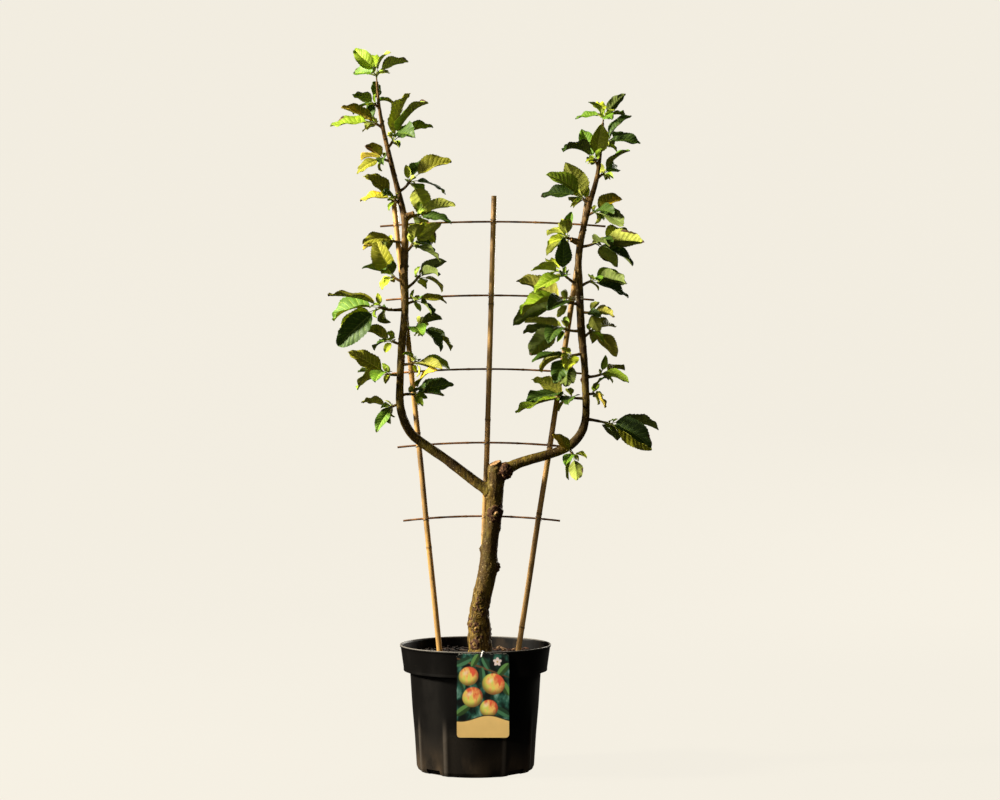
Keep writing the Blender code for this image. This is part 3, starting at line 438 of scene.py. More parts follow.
class StageSettings(bpy.types.PropertyGroup):
    """Backdrop, lights and lens of the studio"""

    floor: colour_setting("Floor", "Colour of floor and backdrop", 0.910, 0.866, 0.768)
    radius: length_setting("Radius", "Radius of the round backdrop", 5.2)
    glow: share_setting("Glow", "Brightness of floor and backdrop by themselves", 0.974)
    key: power_setting("Key light", "Power of the key light", 460.0)
    fill: power_setting("Fill light", "Power of the fill light", 15.0)
    back: power_setting("Back light", "Power of the light behind", 150.0)
    label: power_setting("Label light", "Power of the spot on the label", 150.0)
    sky: share_setting("Sky", "Strength of the light from all sides", 0.044)
    lens: FloatProperty(
        name="Lens", description="Focal length in millimetres", default=72.3, subtype="DISTANCE_CAMERA"
    )


def unit(vector):
    """The vector at a length of 1."""
    return vector / np.linalg.norm(vector)


def turns(sides):
    """Angles of points spaced evenly round a circle."""
    return np.arange(sides) * math.tau / sides


def lattice(cells, seed):
    """A number from -1 to 1 for each whole-number cell: the broken part of a large sine of its indices."""
    value = np.sin(cells @ np.array([127.1, 311.7, 74.7]) + seed * 19.19) * 43758.5453
    return (value - np.floor(value)) * 2 - 1


def noise(points, size, seed=0):
    """Value noise: the numbers of the eight lattice corners round a point, blended by smooth steps."""
    scaled = points / size
    cell = np.floor(scaled)
    part = scaled - cell
    part = part * part * (3 - 2 * part)
    total = 0.0
    for corner in np.ndindex(2, 2, 2):
        weight = np.prod(np.where(corner, part, 1 - part), axis=-1)
        total = total + weight * lattice(cell + corner, seed)
    return total


def smooth_step(x, low, high):
    """Rises from 0 at low to 1 at high, level at both ends."""
    t = np.clip((x - low) / (high - low), 0.0, 1.0)
    return t * t * (3 - 2 * t)


def hump(x, middle, spread):
    """A smooth hump of height 1: it falls off with the square of the distance from its middle."""
    return np.exp(-(((x - middle) / spread) ** 2))


def grid_faces(rows, columns, wrap=False):
    """Quads of a grid of points that are stored row by row; wrap joins the last column to the first."""
    row = np.arange(rows - 1)[:, None] * columns
    here = np.arange(columns if wrap else columns - 1)[None, :]
    beside = (here + 1) % columns
    return np.stack([row + here, row + beside, row + columns + beside, row + columns + here], -1).reshape(-1, 4)


class Shape:
    """Points and faces gathered as arrays, with one finish number for each face."""

    def __init__(self):
        self.points, self.faces, self.tones, self.count = [], [], [], 0

    def add(self, points, faces, tones=0):
        """Adds points, and faces as arrays with a row of corners for each.

        tones is one finish number, or one for each face.
        """
        self.points.append(np.reshape(points, (-1, 3)))
        self.faces += [group + self.count for group in faces]
        self.tones.append(np.broadcast_to(tones, sum(len(group) for group in faces)))
        self.count += len(self.points[-1])

    def mesh(self, name):
        """The shape as a mesh, filled from whole arrays."""
        corners = np.concatenate([group.ravel() for group in self.faces])
        sizes = np.concatenate([np.full(len(group), group.shape[1]) for group in self.faces])
        made = bpy.data.meshes.new(name)
        made.vertices.add(self.count)
        made.vertices.foreach_set("co", np.concatenate(self.points).astype(np.float32).ravel())
        made.loops.add(len(corners))
        made.loops.foreach_set("vertex_index", corners.astype(np.int32))
        made.polygons.add(len(sizes))
        made.polygons.foreach_set("loop_start", (np.cumsum(sizes) - sizes).astype(np.int32))
        made.polygons.foreach_set("material_index", np.concatenate(self.tones).astype(np.int32))
        made.update(calc_edges=True)
        return made


def place_mesh(name, mesh, finishes):
    """Puts a mesh with its finishes into the scene, shaded smooth."""
    for finish in finishes:
        mesh.materials.append(finish)
    mesh.shade_smooth()
    made = bpy.data.objects.new(name, mesh)
    bpy.context.scene.collection.objects.link(made)
    return made


def add_piece(name, shape, finishes, nodes=(), crease=50):
    """Puts a shape into the scene as a piece that rides on the plant and stands for its CAD nodes."""
    mesh = shape if isinstance(shape, bpy.types.Mesh) else shape.mesh(name)
    piece = place_mesh(name, mesh, finishes)
    mesh.set_sharp_from_angle(angle=math.radians(crease))
    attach(piece, BODY)
    if nodes:
        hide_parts(*nodes)


def rings_along(path, radii, sides, reference=(0.0, -1.0, 0.0)):
    """Circles carried along a path: each lies across it, and starts where reference is at a right angle."""
    along = np.gradient(path, axis=0)
    along /= np.linalg.norm(along, axis=1, keepdims=True)
    across = np.cross(along, reference)
    across /= np.linalg.norm(across, axis=1, keepdims=True)
    lift = np.cross(along, across)
    turn = turns(sides)[:, None]
    spoke = across[:, None] * np.cos(turn) + lift[:, None] * np.sin(turn)
    radii = radii[:, None] if radii.ndim == 1 else radii
    return path[:, None] + spoke * radii[..., None]


def add_tube(shape, rings, tone=0, ends=None):
    """A closed tube through rings of points, with a fan of triangles on each end.

    tone is one finish number, or one for each quad. ends is that of the two fans.
    """
    rows, sides = rings.shape[:2]
    points = np.vstack([rings.reshape(-1, 3), rings[0].mean(0), rings[-1].mean(0)])
    here = np.arange(sides)
    beside = (here + 1) % sides
    foot = np.stack([np.full(sides, rows * sides), beside, here], -1)
    last = (rows - 1) * sides
    tip = np.stack([np.full(sides, rows * sides + 1), last + here, last + beside], -1)
    quads = grid_faces(rows, sides, wrap=True)
    fans = np.repeat(np.broadcast_to(tone if ends is None else ends, 2), sides)
    shape.add(points, [quads, foot, tip], np.concatenate([np.broadcast_to(tone, len(quads)), fans]))


def add_twig(shape, path, radii, sides, tone=0):
    """A closed tube along a path, whose circles start from an axis that is well off the path's way."""
    way = path[-1] - path[0]
    front = abs(way[1]) < 0.8 * np.linalg.norm(way)
    reference = (0.0, -1.0, 0.0) if front else (1.0, 0.0, 0.0)
    add_tube(shape, rings_along(path, radii, sides, reference), tone)


def turned(radii, heights, sides):
    """Rings of points round Z, with one row of radii and heights for each."""
    turn = turns(sides)
    return np.stack(np.broadcast_arrays(radii * np.cos(turn), radii * np.sin(turn), heights), -1)


def ball(rings, sides, gap):
    """Rings of points on a ball of radius 1, from pole to pole along X. gap is the angle open at a pole."""
    pole = np.linspace(math.pi - gap, gap, rings)[:, None]
    turn = turns(sides)
    across = np.sin(pole)
    return np.stack(np.broadcast_arrays(np.cos(pole), across * np.cos(turn), across * np.sin(turn)), -1)


def rounded(profile, reach, steps=4):
    """Rounds each corner of a profile: a quadratic curve from reach before the corner to reach after it."""
    profile = np.asarray(profile, float)
    t = np.linspace(0.0, 1.0, steps + 1)[:, None]
    made = [profile[:1]]
    for before, corner, after in zip(profile, profile[1:], profile[2:]):
        ways = (before - corner, after - corner)
        start, end = (corner + unit(way) * min(reach, np.linalg.norm(way) * 0.45) for way in ways)
        made.append(start * (1 - t) ** 2 + 2 * corner * t * (1 - t) + end * t**2)
    return np.vstack([*made, profile[-1:]])


def finer(profile, longest):
    """Cuts the long stretches of a profile into equal ones that are no longer than a length."""
    made = []
    for start, end in zip(profile, profile[1:]):
        count = max(1, math.ceil(np.linalg.norm(end - start) / longest))
        made += [start + (end - start) * k / count for k in range(count)]
    return np.array([*made, profile[-1]])


def shade(colour, factor):
    """A colour made lighter or darker, with no part over 1."""
    return tuple(min(1.0, part * factor) for part in colour)


class Finish:
    """A node-based material, built round its Principled shader, with patterns on Object coordinates."""

    def __init__(self, name, roughness=0.5, specular=0.5, metallic=0.0):
        self.material = bpy.data.materials.new(name)
        self.material.use_nodes = True
        self.tree = self.material.node_tree
        self.shader = self.tree.nodes["Principled BSDF"].inputs
        self.shader["Roughness"].default_value = roughness
        self.shader["Specular IOR Level"].default_value = specular
        self.shader["Metallic"].default_value = metallic
        self.place = self.tree.nodes.new("ShaderNodeTexCoord").outputs["Object"]
        self.normal = None

    def node(self, kind, values, **settings):
        """A new node with its settings, and with values or links on its named or numbered inputs."""
        made = self.tree.nodes.new(kind)
        for key, value in settings.items():
            setattr(made, key, value)
        for key, value in values.items():
            self.put(value, made.inputs[key])
        return made

    def put(self, value, socket):
        """Links an output to an input, or sets the input to a value."""
        if isinstance(value, bpy.types.NodeSocket):
            self.tree.links.new(value, socket)
        elif socket.type == "RGBA":
            socket.default_value = (*value[:3], 1.0)
        else:
            socket.default_value = value

    def mapped(self, scale, place=(0.0, 0.0, 0.0), turn=(0.0, 0.0, 0.0), kind="POINT"):
        """Object coordinates, scaled, moved and turned."""
        values = {"Vector": self.place, "Location": place, "Rotation": turn, "Scale": scale}
        return self.node("ShaderNodeMapping", values, vector_type=kind).outputs["Vector"]

    def stretched(self, size, stretch, turn=(0.0, 0.0, 0.0)):
        """Coordinates for a pattern of a size in metres. stretch is its scale up Z, or along all three axes."""
        stretch = (1.0, 1.0, stretch) if np.isscalar(stretch) else stretch
        return self.mapped([part / size for part in stretch], turn=turn)

    def noise(self, size, stretch=1.0, detail=3.0, turn=(0.0, 0.0, 0.0)):
        """Cloudy noise from 0 to 1."""
        values = {"Vector": self.stretched(size, stretch, turn), "Scale": 1.0, "Detail": detail}
        return self.node("ShaderNodeTexNoise", values).outputs["Fac"]

    def cells(self, size, stretch=1.0, feature="DISTANCE_TO_EDGE"):
        """Distance to the edges of random cells, or with F1 to their middles."""
        values = {"Vector": self.stretched(size, stretch), "Scale": 1.0}
        return self.node("ShaderNodeTexVoronoi", values, feature=feature).outputs["Distance"]

    def axis(self, name, vector=None):
        """One part of a vector, or of the Object coordinates."""
        return self.node("ShaderNodeSeparateXYZ", {0: vector or self.place}).outputs[name]

    def between(self, value, low, high, to_low=0.0, to_high=1.0):
        """The value's place between low and high as a smooth step, mapped to another range."""
        values = {"Value": value, "From Min": low, "From Max": high, "To Min": to_low, "To Max": to_high}
        return self.node("ShaderNodeMapRange", values, interpolation_type="SMOOTHSTEP").outputs["Result"]

    def calc(self, operation, first, second=0.0):
        """The result of a Math node."""
        return self.node("ShaderNodeMath", {0: first, 1: second}, operation=operation).outputs[0]

    def times(self, first, second):
        """The product of two values."""
        return self.calc("MULTIPLY", first, second)

    def mix(self, factor, first, second):
        """A blend of two colours."""
        values = {0: factor, 6: first, 7: second}
        return self.node("ShaderNodeMix", values, data_type="RGBA").outputs[2]

    def paint(self, colour, paint, pattern, low, high, most=1.0):
        """A colour, painted over where a pattern passes from low to high, with most as the largest share."""
        return self.mix(self.between(pattern, low, high, 0.0, most), colour, paint)

    def ramp(self, factor, *stops):
        """A colour ramp through stops of place and colour."""
        made = self.node("ShaderNodeValToRGB", {"Fac": factor})
        elements = made.color_ramp.elements
        while len(elements) < len(stops):
            elements.new(1.0)
        for element, (place, colour) in zip(elements, stops):
            element.position = place
            element.color = (*colour, 1.0)
        return made.outputs["Color"]

    def bump(self, height, depth, strength):
        """Adds fine relief to the relief so far."""
        values = {"Distance": depth, "Strength": strength, "Height": height}
        if self.normal:
            values["Normal"] = self.normal
        self.normal = self.node("ShaderNodeBump", values).outputs["Normal"]

    def done(self, colour, roughness=None):
        """The material, with its colour, relief and gloss on the shader."""
        for key, value in (("Base Color", colour), ("Roughness", roughness), ("Normal", self.normal)):
            if value is not None:
                self.put(value, self.shader[key])
        return self.material


def grained(name, roughness, specular, metallic, grain, relief, *stops):
    """A finish with one pattern of noise, which gives its relief and, by a ramp, its colours.

    grain is the size, stretch and detail of the noise, and relief its depth and strength as bump.
    """
    made = Finish(name, roughness, specular, metallic)
    pattern = made.noise(*grain)
    if relief:
        made.bump(pattern, *relief)
    return made.done(made.ramp(pattern, *stops))


# Finishes for grained: roughness, specular level, metallic share, grain, relief and the stops of the ramp.
GRAINED_FINISHES = {
    # Wrinkled red-brown callus round a pruning wound.
    "knot_bark": (
        0.72, 0.12, 0.0, (0.0030, 1.0, 5.0), (0.0010, 0.9),
        (0.34, (0.014, 0.005, 0.003)), (0.54, (0.062, 0.025, 0.011)), (0.74, (0.25, 0.14, 0.060)),
    ),
    # A weathered sawn end, with growth rings and fine cracks.
    "sawn_wood": (
        0.75, 0.25, 0.0, (0.0026, 0.4, 4.0), (0.0005, 0.7),
        (0.30, (0.16, 0.075, 0.030)), (0.52, (0.46, 0.26, 0.105)), (0.75, (0.68, 0.46, 0.24)),
    ),
    # Dull wire with a film of rust.
    "tie_wire": (
        0.5, 0.5, 0.6, (0.0030, 1.0, 4.0), None, (0.4, (0.13, 0.12, 0.11)), (0.62, (0.16, 0.075, 0.035)),
    ),
    # Pale twisted plant fibre.
    "raffia": (
        0.8, 0.25, 0.0, (0.0010, 2.5, 3.0), (0.0002, 0.8),
        (0.35, (0.42, 0.33, 0.20)), (0.65, (0.80, 0.72, 0.55)),
    ),
    # Leaf stalks: yellow-green, flushed with red here and there.
    "leaf_stalk": (
        0.5, 0.4, 0.0, (0.012, 1.0, 3.0), None,
        (0.38, (0.13, 0.17, 0.035)), (0.56, (0.30, 0.34, 0.075)), (0.72, (0.30, 0.13, 0.05)),
    ),
    # Crisp brown leaf tip.
    "leaf_dry": (
        0.75, 0.25, 0.0, (0.0030, 1.0, 4.0), (0.0005, 0.7),
        (0.35, (0.020, 0.011, 0.006)), (0.60, (0.095, 0.045, 0.018)), (0.78, (0.25, 0.13, 0.05)),
    ),
    # White plastic with faint dirt.
    "hook_plastic": (
        0.35, 0.5, 0.0, (0.004, 1.0, 4.0), None, (0.35, (0.62, 0.60, 0.55)), (0.6, (0.88, 0.87, 0.84)),
    ),
    # The uncoated side and the edges of the card.
    "card_back": (
        0.6, 0.3, 0.0, (0.0020, 1.0, 4.0), None, (0.3, (0.60, 0.56, 0.46)), (0.7, (0.78, 0.74, 0.64)),
    ),
}


def plain_finish(name):
    """One of the grained finishes by its name."""
    return grained(name, *GRAINED_FINISHES[name])


def pot_inside(look):
    """The pot's inner side: duller, and smeared with earth."""
    made = Finish("pot_inside", 0.75, 0.12)
    made.bump(made.noise(0.0015), 0.0002, 0.5)
    smears = made.noise(0.020, 0.5, 5.0)
    return made.done(made.paint(shade(look.plastic, 0.8), (0.020, 0.014, 0.009), smears, 0.45, 0.70))


def pot_plastic(look):
    """Black plastic, duller high up, with dust in patches and in streaks, a pale lip of wear and painted
    highlight, painted highlights on the ribs, and pale dust and painted light round the foot.
    """
    made = Finish("pot_plastic", 0.45, 0.078)
    height = made.axis("Z")
    patches = made.noise(0.045, 0.6, 5.0)
    pale_dust_and_light = shade(look.dust, 1.9)
    colour = made.paint(look.plastic, look.dust, patches, 0.48, 0.74, 0.45)
    colour = made.paint(colour, look.dust, made.noise(0.012, 0.08, 2.0), 0.60, 0.80, 0.22)
    colour = made.paint(colour, pale_dust_and_light, made.noise(0.010, (0.25, 0.25, 2.4), 4.0), 0.70, 0.78, 0.5)
    # Pale dust and painted light round the foot, where the lower body is lit below the shadow of the rim band.
    foot = made.between(made.calc("ADD", height, made.between(patches, 0.3, 0.7, -0.012, 0.012)), 0.082, 0.052)
    colour = made.mix(made.times(foot, 0.60), colour, pale_dust_and_light)
    earth = made.times(made.between(height, 0.050, 0.0), made.between(patches, 0.40, 0.62))
    colour = made.mix(made.times(earth, 0.55), colour, (0.090, 0.062, 0.038))
    # A pale line along the lip: wear, and a painted highlight.
    colour = made.paint(colour, (0.200, 0.185, 0.165), height, POT_HEIGHT - 0.0018, POT_HEIGHT - 0.0004, 0.80)
    made.bump(made.noise(0.0011, detail=4.0), 0.00012, 0.5)
    made.bump(made.noise(0.030, 0.3), 0.0006, 0.35)
    # Painted highlight streaks on the soft foot ribs, low down, in a pale tint of the dust colour.
    half_step = math.pi / NOTCH_COUNT
    turn = made.calc("ARCTAN2", made.axis("Y"), made.axis("X"))
    off_notch = made.calc("PINGPONG", made.calc("ADD", turn, half_step), half_step)
    off_rib = made.calc("ABSOLUTE", made.calc("SUBTRACT", off_notch, RIB_TURN))
    rib = made.times(made.between(off_rib, RIB_SPREAD, 0.01), made.between(height, 0.095, 0.055))
    colour = made.mix(made.times(rib, 0.75), colour, shade(look.dust, 6.5))
    gloss = made.calc("ADD", made.between(patches, 0.35, 0.75, 0.42, 0.58), made.times(foot, -0.16))
    return made.done(colour, gloss)


def painted_rim_shadow(made, colour):
    """The colour, darkened on the left of the pot: a painted shadow of the rim's left wall on the compost."""
    return made.paint(colour, (0.004, 0.002, 0.001), made.axis("X"), 0.050, -0.010, 0.85)


def compost_earth(look):
    """Dark compost: coarse and fine crumbs with pale specks."""
    made = Finish("compost", 0.95, 0.2)
    crumbs = made.noise(0.004, detail=6.0)
    dark, pale = shade(look.earth, 0.35), shade(look.earth, 2.6)
    colour = made.ramp(crumbs, (0.30, dark), (0.55, look.earth), (0.78, pale))
    colour = made.paint(colour, (0.30, 0.24, 0.17), made.cells(0.006, feature="F1"), 0.16, 0.10, 0.5)
    made.bump(crumbs, 0.0015, 0.9)
    # Painted shadow of the pot's rim darkens the compost on the left.
    return made.done(painted_rim_shadow(made, colour))


def flake_bark(name, colour):
    """A flake of composted bark, with fibres in its relief and colour."""
    made = Finish(name, 0.85, 0.25)
    fibres = made.noise(0.0022, 3.0, 4.0)
    made.bump(fibres, 0.0005, 0.8)
    grain = made.ramp(fibres, (0.3, shade(colour, 0.45)), (0.55, colour), (0.8, shade(colour, 1.7)))
    # Painted shadow of the pot's rim darkens the flakes on the left.
    return made.done(painted_rim_shadow(made, grain))


def bark(look):
    """Apple bark: olive and tan patches, dark furrows low down, pale pores, and redder young wood high up."""
    made = Finish("bark", 0.66, 0.10)
    height = made.axis("Z")
    patches = made.noise(0.016, 0.55, 5.0)
    grain = made.noise(0.0035, 0.30, 5.0)
    red, green, blue = look.old_bark
    dark = shade(look.old_bark, 0.20)
    olive = (red * 1.15, green * 1.45, blue * 1.1)
    tan = shade(look.old_bark, 2.5)
    brown = shade(look.old_bark, 0.40)
    old = made.ramp(patches, (0.30, brown), (0.46, look.old_bark), (0.60, olive), (0.74, tan))
    shadow, bright = shade(look.young_bark, 0.50), shade(look.young_bark, 1.7)
    young = made.ramp(patches, (0.32, shadow), (0.50, look.young_bark), (0.72, bright))
    colour = made.paint(old, young, height, 0.56, 0.92)
    rough = made.paint(dark, shade(look.old_bark, 2.0), grain, 0.36, 0.62)
    low = made.times(made.between(height, 0.30, 0.225), made.between(patches, 0.35, 0.55, 0.25, 0.65))
    colour = made.mix(low, colour, rough)
    colour = made.paint(colour, dark, grain, 0.57, 0.36, 0.80)
    colour = made.paint(colour, (0.038, 0.020, 0.009), made.noise(0.034, 0.7, 4.0), 0.56, 0.42, 0.50)
    colour = made.paint(colour, (0.40, 0.30, 0.13), made.cells(0.0062, 0.8, "F1"), 0.20, 0.12, 0.6)
    colour = made.paint(colour, (0.34, 0.25, 0.09), made.cells(0.0025, feature="F1"), 0.34, 0.18, 0.30)
    made.bump(grain, 0.0007, 0.75)
    made.bump(made.noise(0.0012, 0.5), 0.0002, 0.5)
    return made.done(colour, made.between(grain, 0.3, 0.7, 0.78, 0.52))


def bamboo(look):
    """Dry bamboo: tan with long fibres, paler and browner stretches and dark spots."""
    made = Finish("bamboo", 0.46, 0.45)
    fibres = made.noise(0.0016, 0.035)
    stretches = made.noise(0.050, 0.55, 4.0)
    dark, pale = shade(look.cane, 0.42), shade(look.cane, 1.28)
    colour = made.ramp(stretches, (0.32, dark), (0.45, look.cane), (0.66, pale))
    colour = made.paint(colour, shade(look.cane, 0.38), fibres, 0.58, 0.38, 0.45)
    colour = made.paint(colour, (0.075, 0.034, 0.014), made.noise(0.0052, 0.45, 5.0), 0.64, 0.76, 0.7)
    made.bump(fibres, 0.0003, 0.6)
    return made.done(colour, made.between(stretches, 0.35, 0.7, 0.52, 0.38))


def cane_joint(look):
    """The brown scar of a bamboo joint."""
    stops = (0.35, shade(look.cane, 0.20)), (0.62, shade(look.cane, 0.66))
    return grained("cane_joint", 0.7, 0.3, 0.0, (0.0014, 0.5, 4.0), (0.0003, 0.7), *stops)


def bar_wood(look):
    """Split, stained cane: red-brown with darker and paler fibres along it."""
    made = Finish("bar_wood", 0.6, 0.35)
    fibres = made.noise(0.0012, (0.06, 1.0, 1.0))
    colour = made.paint(shade(look.bar, 0.45), shade(look.bar, 1.9), made.noise(0.040), 0.42, 0.64)
    colour = made.paint(colour, shade(look.bar, 0.35), fibres, 0.45, 0.65, 0.6)
    made.bump(fibres, 0.0002, 0.6)
    return made.done(colour)


def leaf_finish(name, colour, roughness, relief):
    """One plain leaf colour, faintly mottled, with the net of fine veins as bump."""
    made = Finish(name, specular=0.22)
    mottle = made.noise(0.0075, detail=4.0)
    tone = made.ramp(mottle, (0.34, shade(colour, 0.80)), (0.52, colour), (0.70, shade(colour, 1.22)))
    made.bump(made.cells(0.0016), 0.00035, relief)
    made.bump(made.noise(0.004, detail=2.0), 0.0005, relief * 0.6)
    return made.done(tone, made.between(mottle, 0.35, 0.7, roughness + 0.07, roughness - 0.06))


def bud_scales():
    """Grey-brown bud scales with dark edges."""
    made = Finish("bud_scales", 0.75, 0.3)
    scales = made.cells(0.0016, 0.7)
    made.bump(scales, 0.0004, 0.8)
    return made.done(made.ramp(scales, (0.05, (0.045, 0.024, 0.016)), (0.45, (0.19, 0.125, 0.085))))


class Picture(Finish):
    """The card's printed face: motifs laid over one another, each placed from the card's middle."""

    def local(self, motif):
        """A motif's own coordinates: its edge lies at 1 from its middle."""
        (x, z), turn, long, wide = motif
        middle = np.add(LABEL_MIDDLE, (x, 0.0, z))
        return self.mapped((long, 1.0, wide), middle, (0.0, -math.radians(turn), 0.0), "TEXTURE")

    def reach(self, local):
        """Distance from a motif's middle in its own coordinates."""
        flat = self.node("ShaderNodeCombineXYZ", {"X": self.axis("X", local), "Z": self.axis("Z", local)})
        return self.node("ShaderNodeVectorMath", {0: flat.outputs[0]}, operation="LENGTH").outputs["Value"]

    def lay(self, colour, paint, reach, soft):
        """A colour, with a motif's paint laid over it where the motif's reach is under 1, to a soft edge."""
        return self.paint(colour, paint, reach, 1.0 + soft, 1.0 - soft)

    def spot(self, colour, paint, motif, soft, most=1.0):
        """A colour, with a plain motif laid over it."""
        return self.paint(colour, paint, self.reach(self.local(motif)), 1.0 + soft, 1.0 - soft, most)


def label_print(look):
    """A plain picture of fruit on a twig over blurred foliage, a wavy dark line, and an empty band."""
    made = Picture("label_print", 0.32, 0.5)
    blur = made.noise(0.013, 0.7, 4.0, (0.0, 0.6, 0.0))
    dark, pale = shade(look.ground, 0.10), (0.20, 0.38, 0.31)
    colour = made.ramp(blur, (0.44, dark), (0.52, look.ground), (0.60, (0.028, 0.120, 0.085)), (0.72, pale))
    colour = made.spot(colour, (0.140, 0.070, 0.030), PICTURE_TWIG, 0.3)
    for number, motif in enumerate(PICTURE_LEAVES):
        local = made.local(motif)
        light = (0.12, 0.27, 0.07) if number % 2 else (0.06, 0.19, 0.09)
        leaf = made.paint(shade(light, 0.25), light, made.axis("Z", local), -0.10, 0.10)
        colour = made.lay(colour, leaf, made.reach(local), 0.08)
    streaks = made.noise(0.0060, 0.5)
    for motif in PICTURE_FRUITS:
        local = made.local(motif)
        reach = made.reach(local)
        slope = made.calc("ADD", made.axis("X", local), made.times(made.axis("Z", local), 0.6))
        flush = made.between(made.calc("ADD", slope, made.between(streaks, 0.3, 0.7, -0.7, 0.7)), -1.5, 1.5)
        skin = made.ramp(
            flush, (0.15, (0.70, 0.72, 0.130)), (0.50, (0.96, 0.56, 0.150)), (0.88, (0.78, 0.110, 0.050))
        )
        low = made.calc("ADD", reach, made.times(made.axis("Z", local), -0.35))
        skin = made.paint(skin, (0.15, 0.035, 0.015), low, 0.50, 1.25, 0.85)
        glint = (np.add(motif[0], (-0.0045, 0.0050)), 40, 0.0042, 0.0026)
        skin = made.spot(skin, (1.0, 0.90, 0.62), glint, 0.8, 0.5)
        colour = made.lay(colour, skin, reach, 0.05)
    for turn in 0.3 + turns(BLOSSOM_PETALS):
        place = (BLOSSOM[0] + PETAL * math.cos(turn), BLOSSOM[1] + PETAL * math.sin(turn))
        colour = made.spot(colour, (0.80, 0.66, 0.64), (place, math.degrees(turn), PETAL, 0.0024), 0.15)
    colour = made.spot(colour, (0.62, 0.42, 0.06), (BLOSSOM, 0, 0.0013, 0.0013), 0.3)
    wave = made.times(made.calc("SINE", made.times(made.axis("X"), 75.0)), PICTURE_WAVE)
    level = made.calc("SUBTRACT", made.axis("Z"), wave)
    foot = LABEL_MIDDLE[2] + PICTURE_FOOT
    colour = made.paint(colour, (0.035, 0.022, 0.010), level, foot + 0.0006, foot)
    paper = made.mix(made.noise(0.02), shade(look.card, 0.92), shade(look.card, 1.12))
    colour = made.paint(colour, paper, level, foot - 0.0009, foot - 0.0015)
    made.bump(made.noise(0.012, detail=1.0), 0.0003, 0.3)
    return made.done(colour)


def floor_finish(look):
    """Pale matt studio paper, lit evenly from within like a light box, with faint cloudiness."""
    made = Finish("studio_floor", 0.9, 0.0)
    paper = made.mix(made.noise(0.8, detail=2.0), shade(look.floor, 0.99), look.floor)
    made.put(paper, made.shader["Emission Color"])
    made.put(look.glow, made.shader["Emission Strength"])
    return made.done(made.mix(0.985, paper, (0.0, 0.0, 0.0)))


def band_inner_radius(height):
    """Radius of the rim band's inner side at a height."""
    share = (height - BAND_FOOT) / BAND_DEPTH
    return BAND_FOOT_RADIUS - POT_WALL + (RIM_RADIUS - LIP_PROUD - BAND_FOOT_RADIUS) * share


def pot_profile():
    """Inner side up, over the lip, and down the outer side to the axis."""
    wall = POT_WALL
    slope = (BODY_TOP_RADIUS - BODY_FOOT_RADIUS) / (BAND_FOOT - FOOT_ROUND)
    shelf = BAND_FOOT + wall * 1.5
    return (
        (0.0, wall),
        (BODY_FOOT_RADIUS - FOOT_ROUND - wall * 0.5, wall),
        (BODY_FOOT_RADIUS - wall + slope * 0.004, FOOT_ROUND + 0.001),
        (BODY_TOP_RADIUS - wall, BAND_FOOT - wall),
        (BODY_TOP_RADIUS - wall, BAND_FOOT + wall),
        (band_inner_radius(shelf), shelf),
        (band_inner_radius(LIP_FOOT), LIP_FOOT),
        (RIM_RADIUS - wall, POT_HEIGHT),
        (RIM_RADIUS, POT_HEIGHT),
        (RIM_RADIUS, LIP_FOOT),
        (RIM_RADIUS - LIP_PROUD, LIP_FOOT - 0.001),
        (BAND_FOOT_RADIUS + 0.0006, BAND_FOOT + 0.0045),
        (BAND_FOOT_RADIUS + 0.0006, BAND_FOOT),
        (BODY_TOP_RADIUS, BAND_FOOT),
        (BODY_FOOT_RADIUS, FOOT_ROUND),
        (BODY_FOOT_RADIUS - FOOT_ROUND * 0.3, FOOT_ROUND * 0.3),
        (BODY_FOOT_RADIUS - FOOT_ROUND, 0.0),
        (0.0, 0.0),
    )


def add_notch_box(shape, turn):
    """The box that cuts one drain notch through the foot: eight corners by signs along its axes, six sides."""
    along = np.array([math.cos(turn), math.sin(turn), 0.0])
    beside = np.array([-along[1], along[0], 0.0])
    signs = np.array(list(np.ndindex(2, 2, 2))) * 2.0 - 1.0
    halves = np.array([along * NOTCH_HALF, beside * NOTCH_WIDTH / 2, (0, 0, NOTCH_HEIGHT)])
    points = along * (BODY_FOOT_RADIUS - NOTCH_DEPTH + NOTCH_HALF) + signs @ halves
    sides = np.array([(0, 1, 3, 2), (4, 6, 7, 5), (0, 4, 5, 1), (2, 3, 7, 6), (0, 2, 6, 4), (1, 5, 7, 3)])
    shape.add(points, [sides])


def cut(mesh, cutter):
    """The mesh less the cutter, by an exact Boolean that is applied at once."""
    target = bpy.data.objects.new("cut_target", mesh)
    tool = bpy.data.objects.new("cut_tool", cutter)
    for obj in (target, tool):
        bpy.context.scene.collection.objects.link(obj)
    step = target.modifiers.new("Cut", "BOOLEAN")
    step.operation = "DIFFERENCE"
    step.solver = "EXACT"
    step.object = tool
    bpy.context.view_layer.update()
    graph = bpy.context.evaluated_depsgraph_get()
    made = bpy.data.meshes.new_from_object(target.evaluated_get(graph), depsgraph=graph)
    for obj in (target, tool):
        bpy.data.objects.remove(obj, do_unlink=True)
    return made


def foot_relief(radius, height, look):
    """Radius of the uneven foot: a soft upright rib on each side of every notch, and sunk panels between."""
    step = math.tau / NOTCH_COUNT
    off_notch = np.abs((turns(radius.shape[1]) % step) - step / 2)
    rib = hump(off_notch, RIB_TURN, RIB_SPREAD)
    fade = smooth_step(height, 0.110, 0.045)
    outer = smooth_step(radius, BODY_FOOT_RADIUS - FOOT_ROUND - 0.004, BODY_FOOT_RADIUS - FOOT_ROUND * 0.6)
    return radius + fade * outer * (look.rib_proud * rib - look.panel_sunk * (1 - rib))


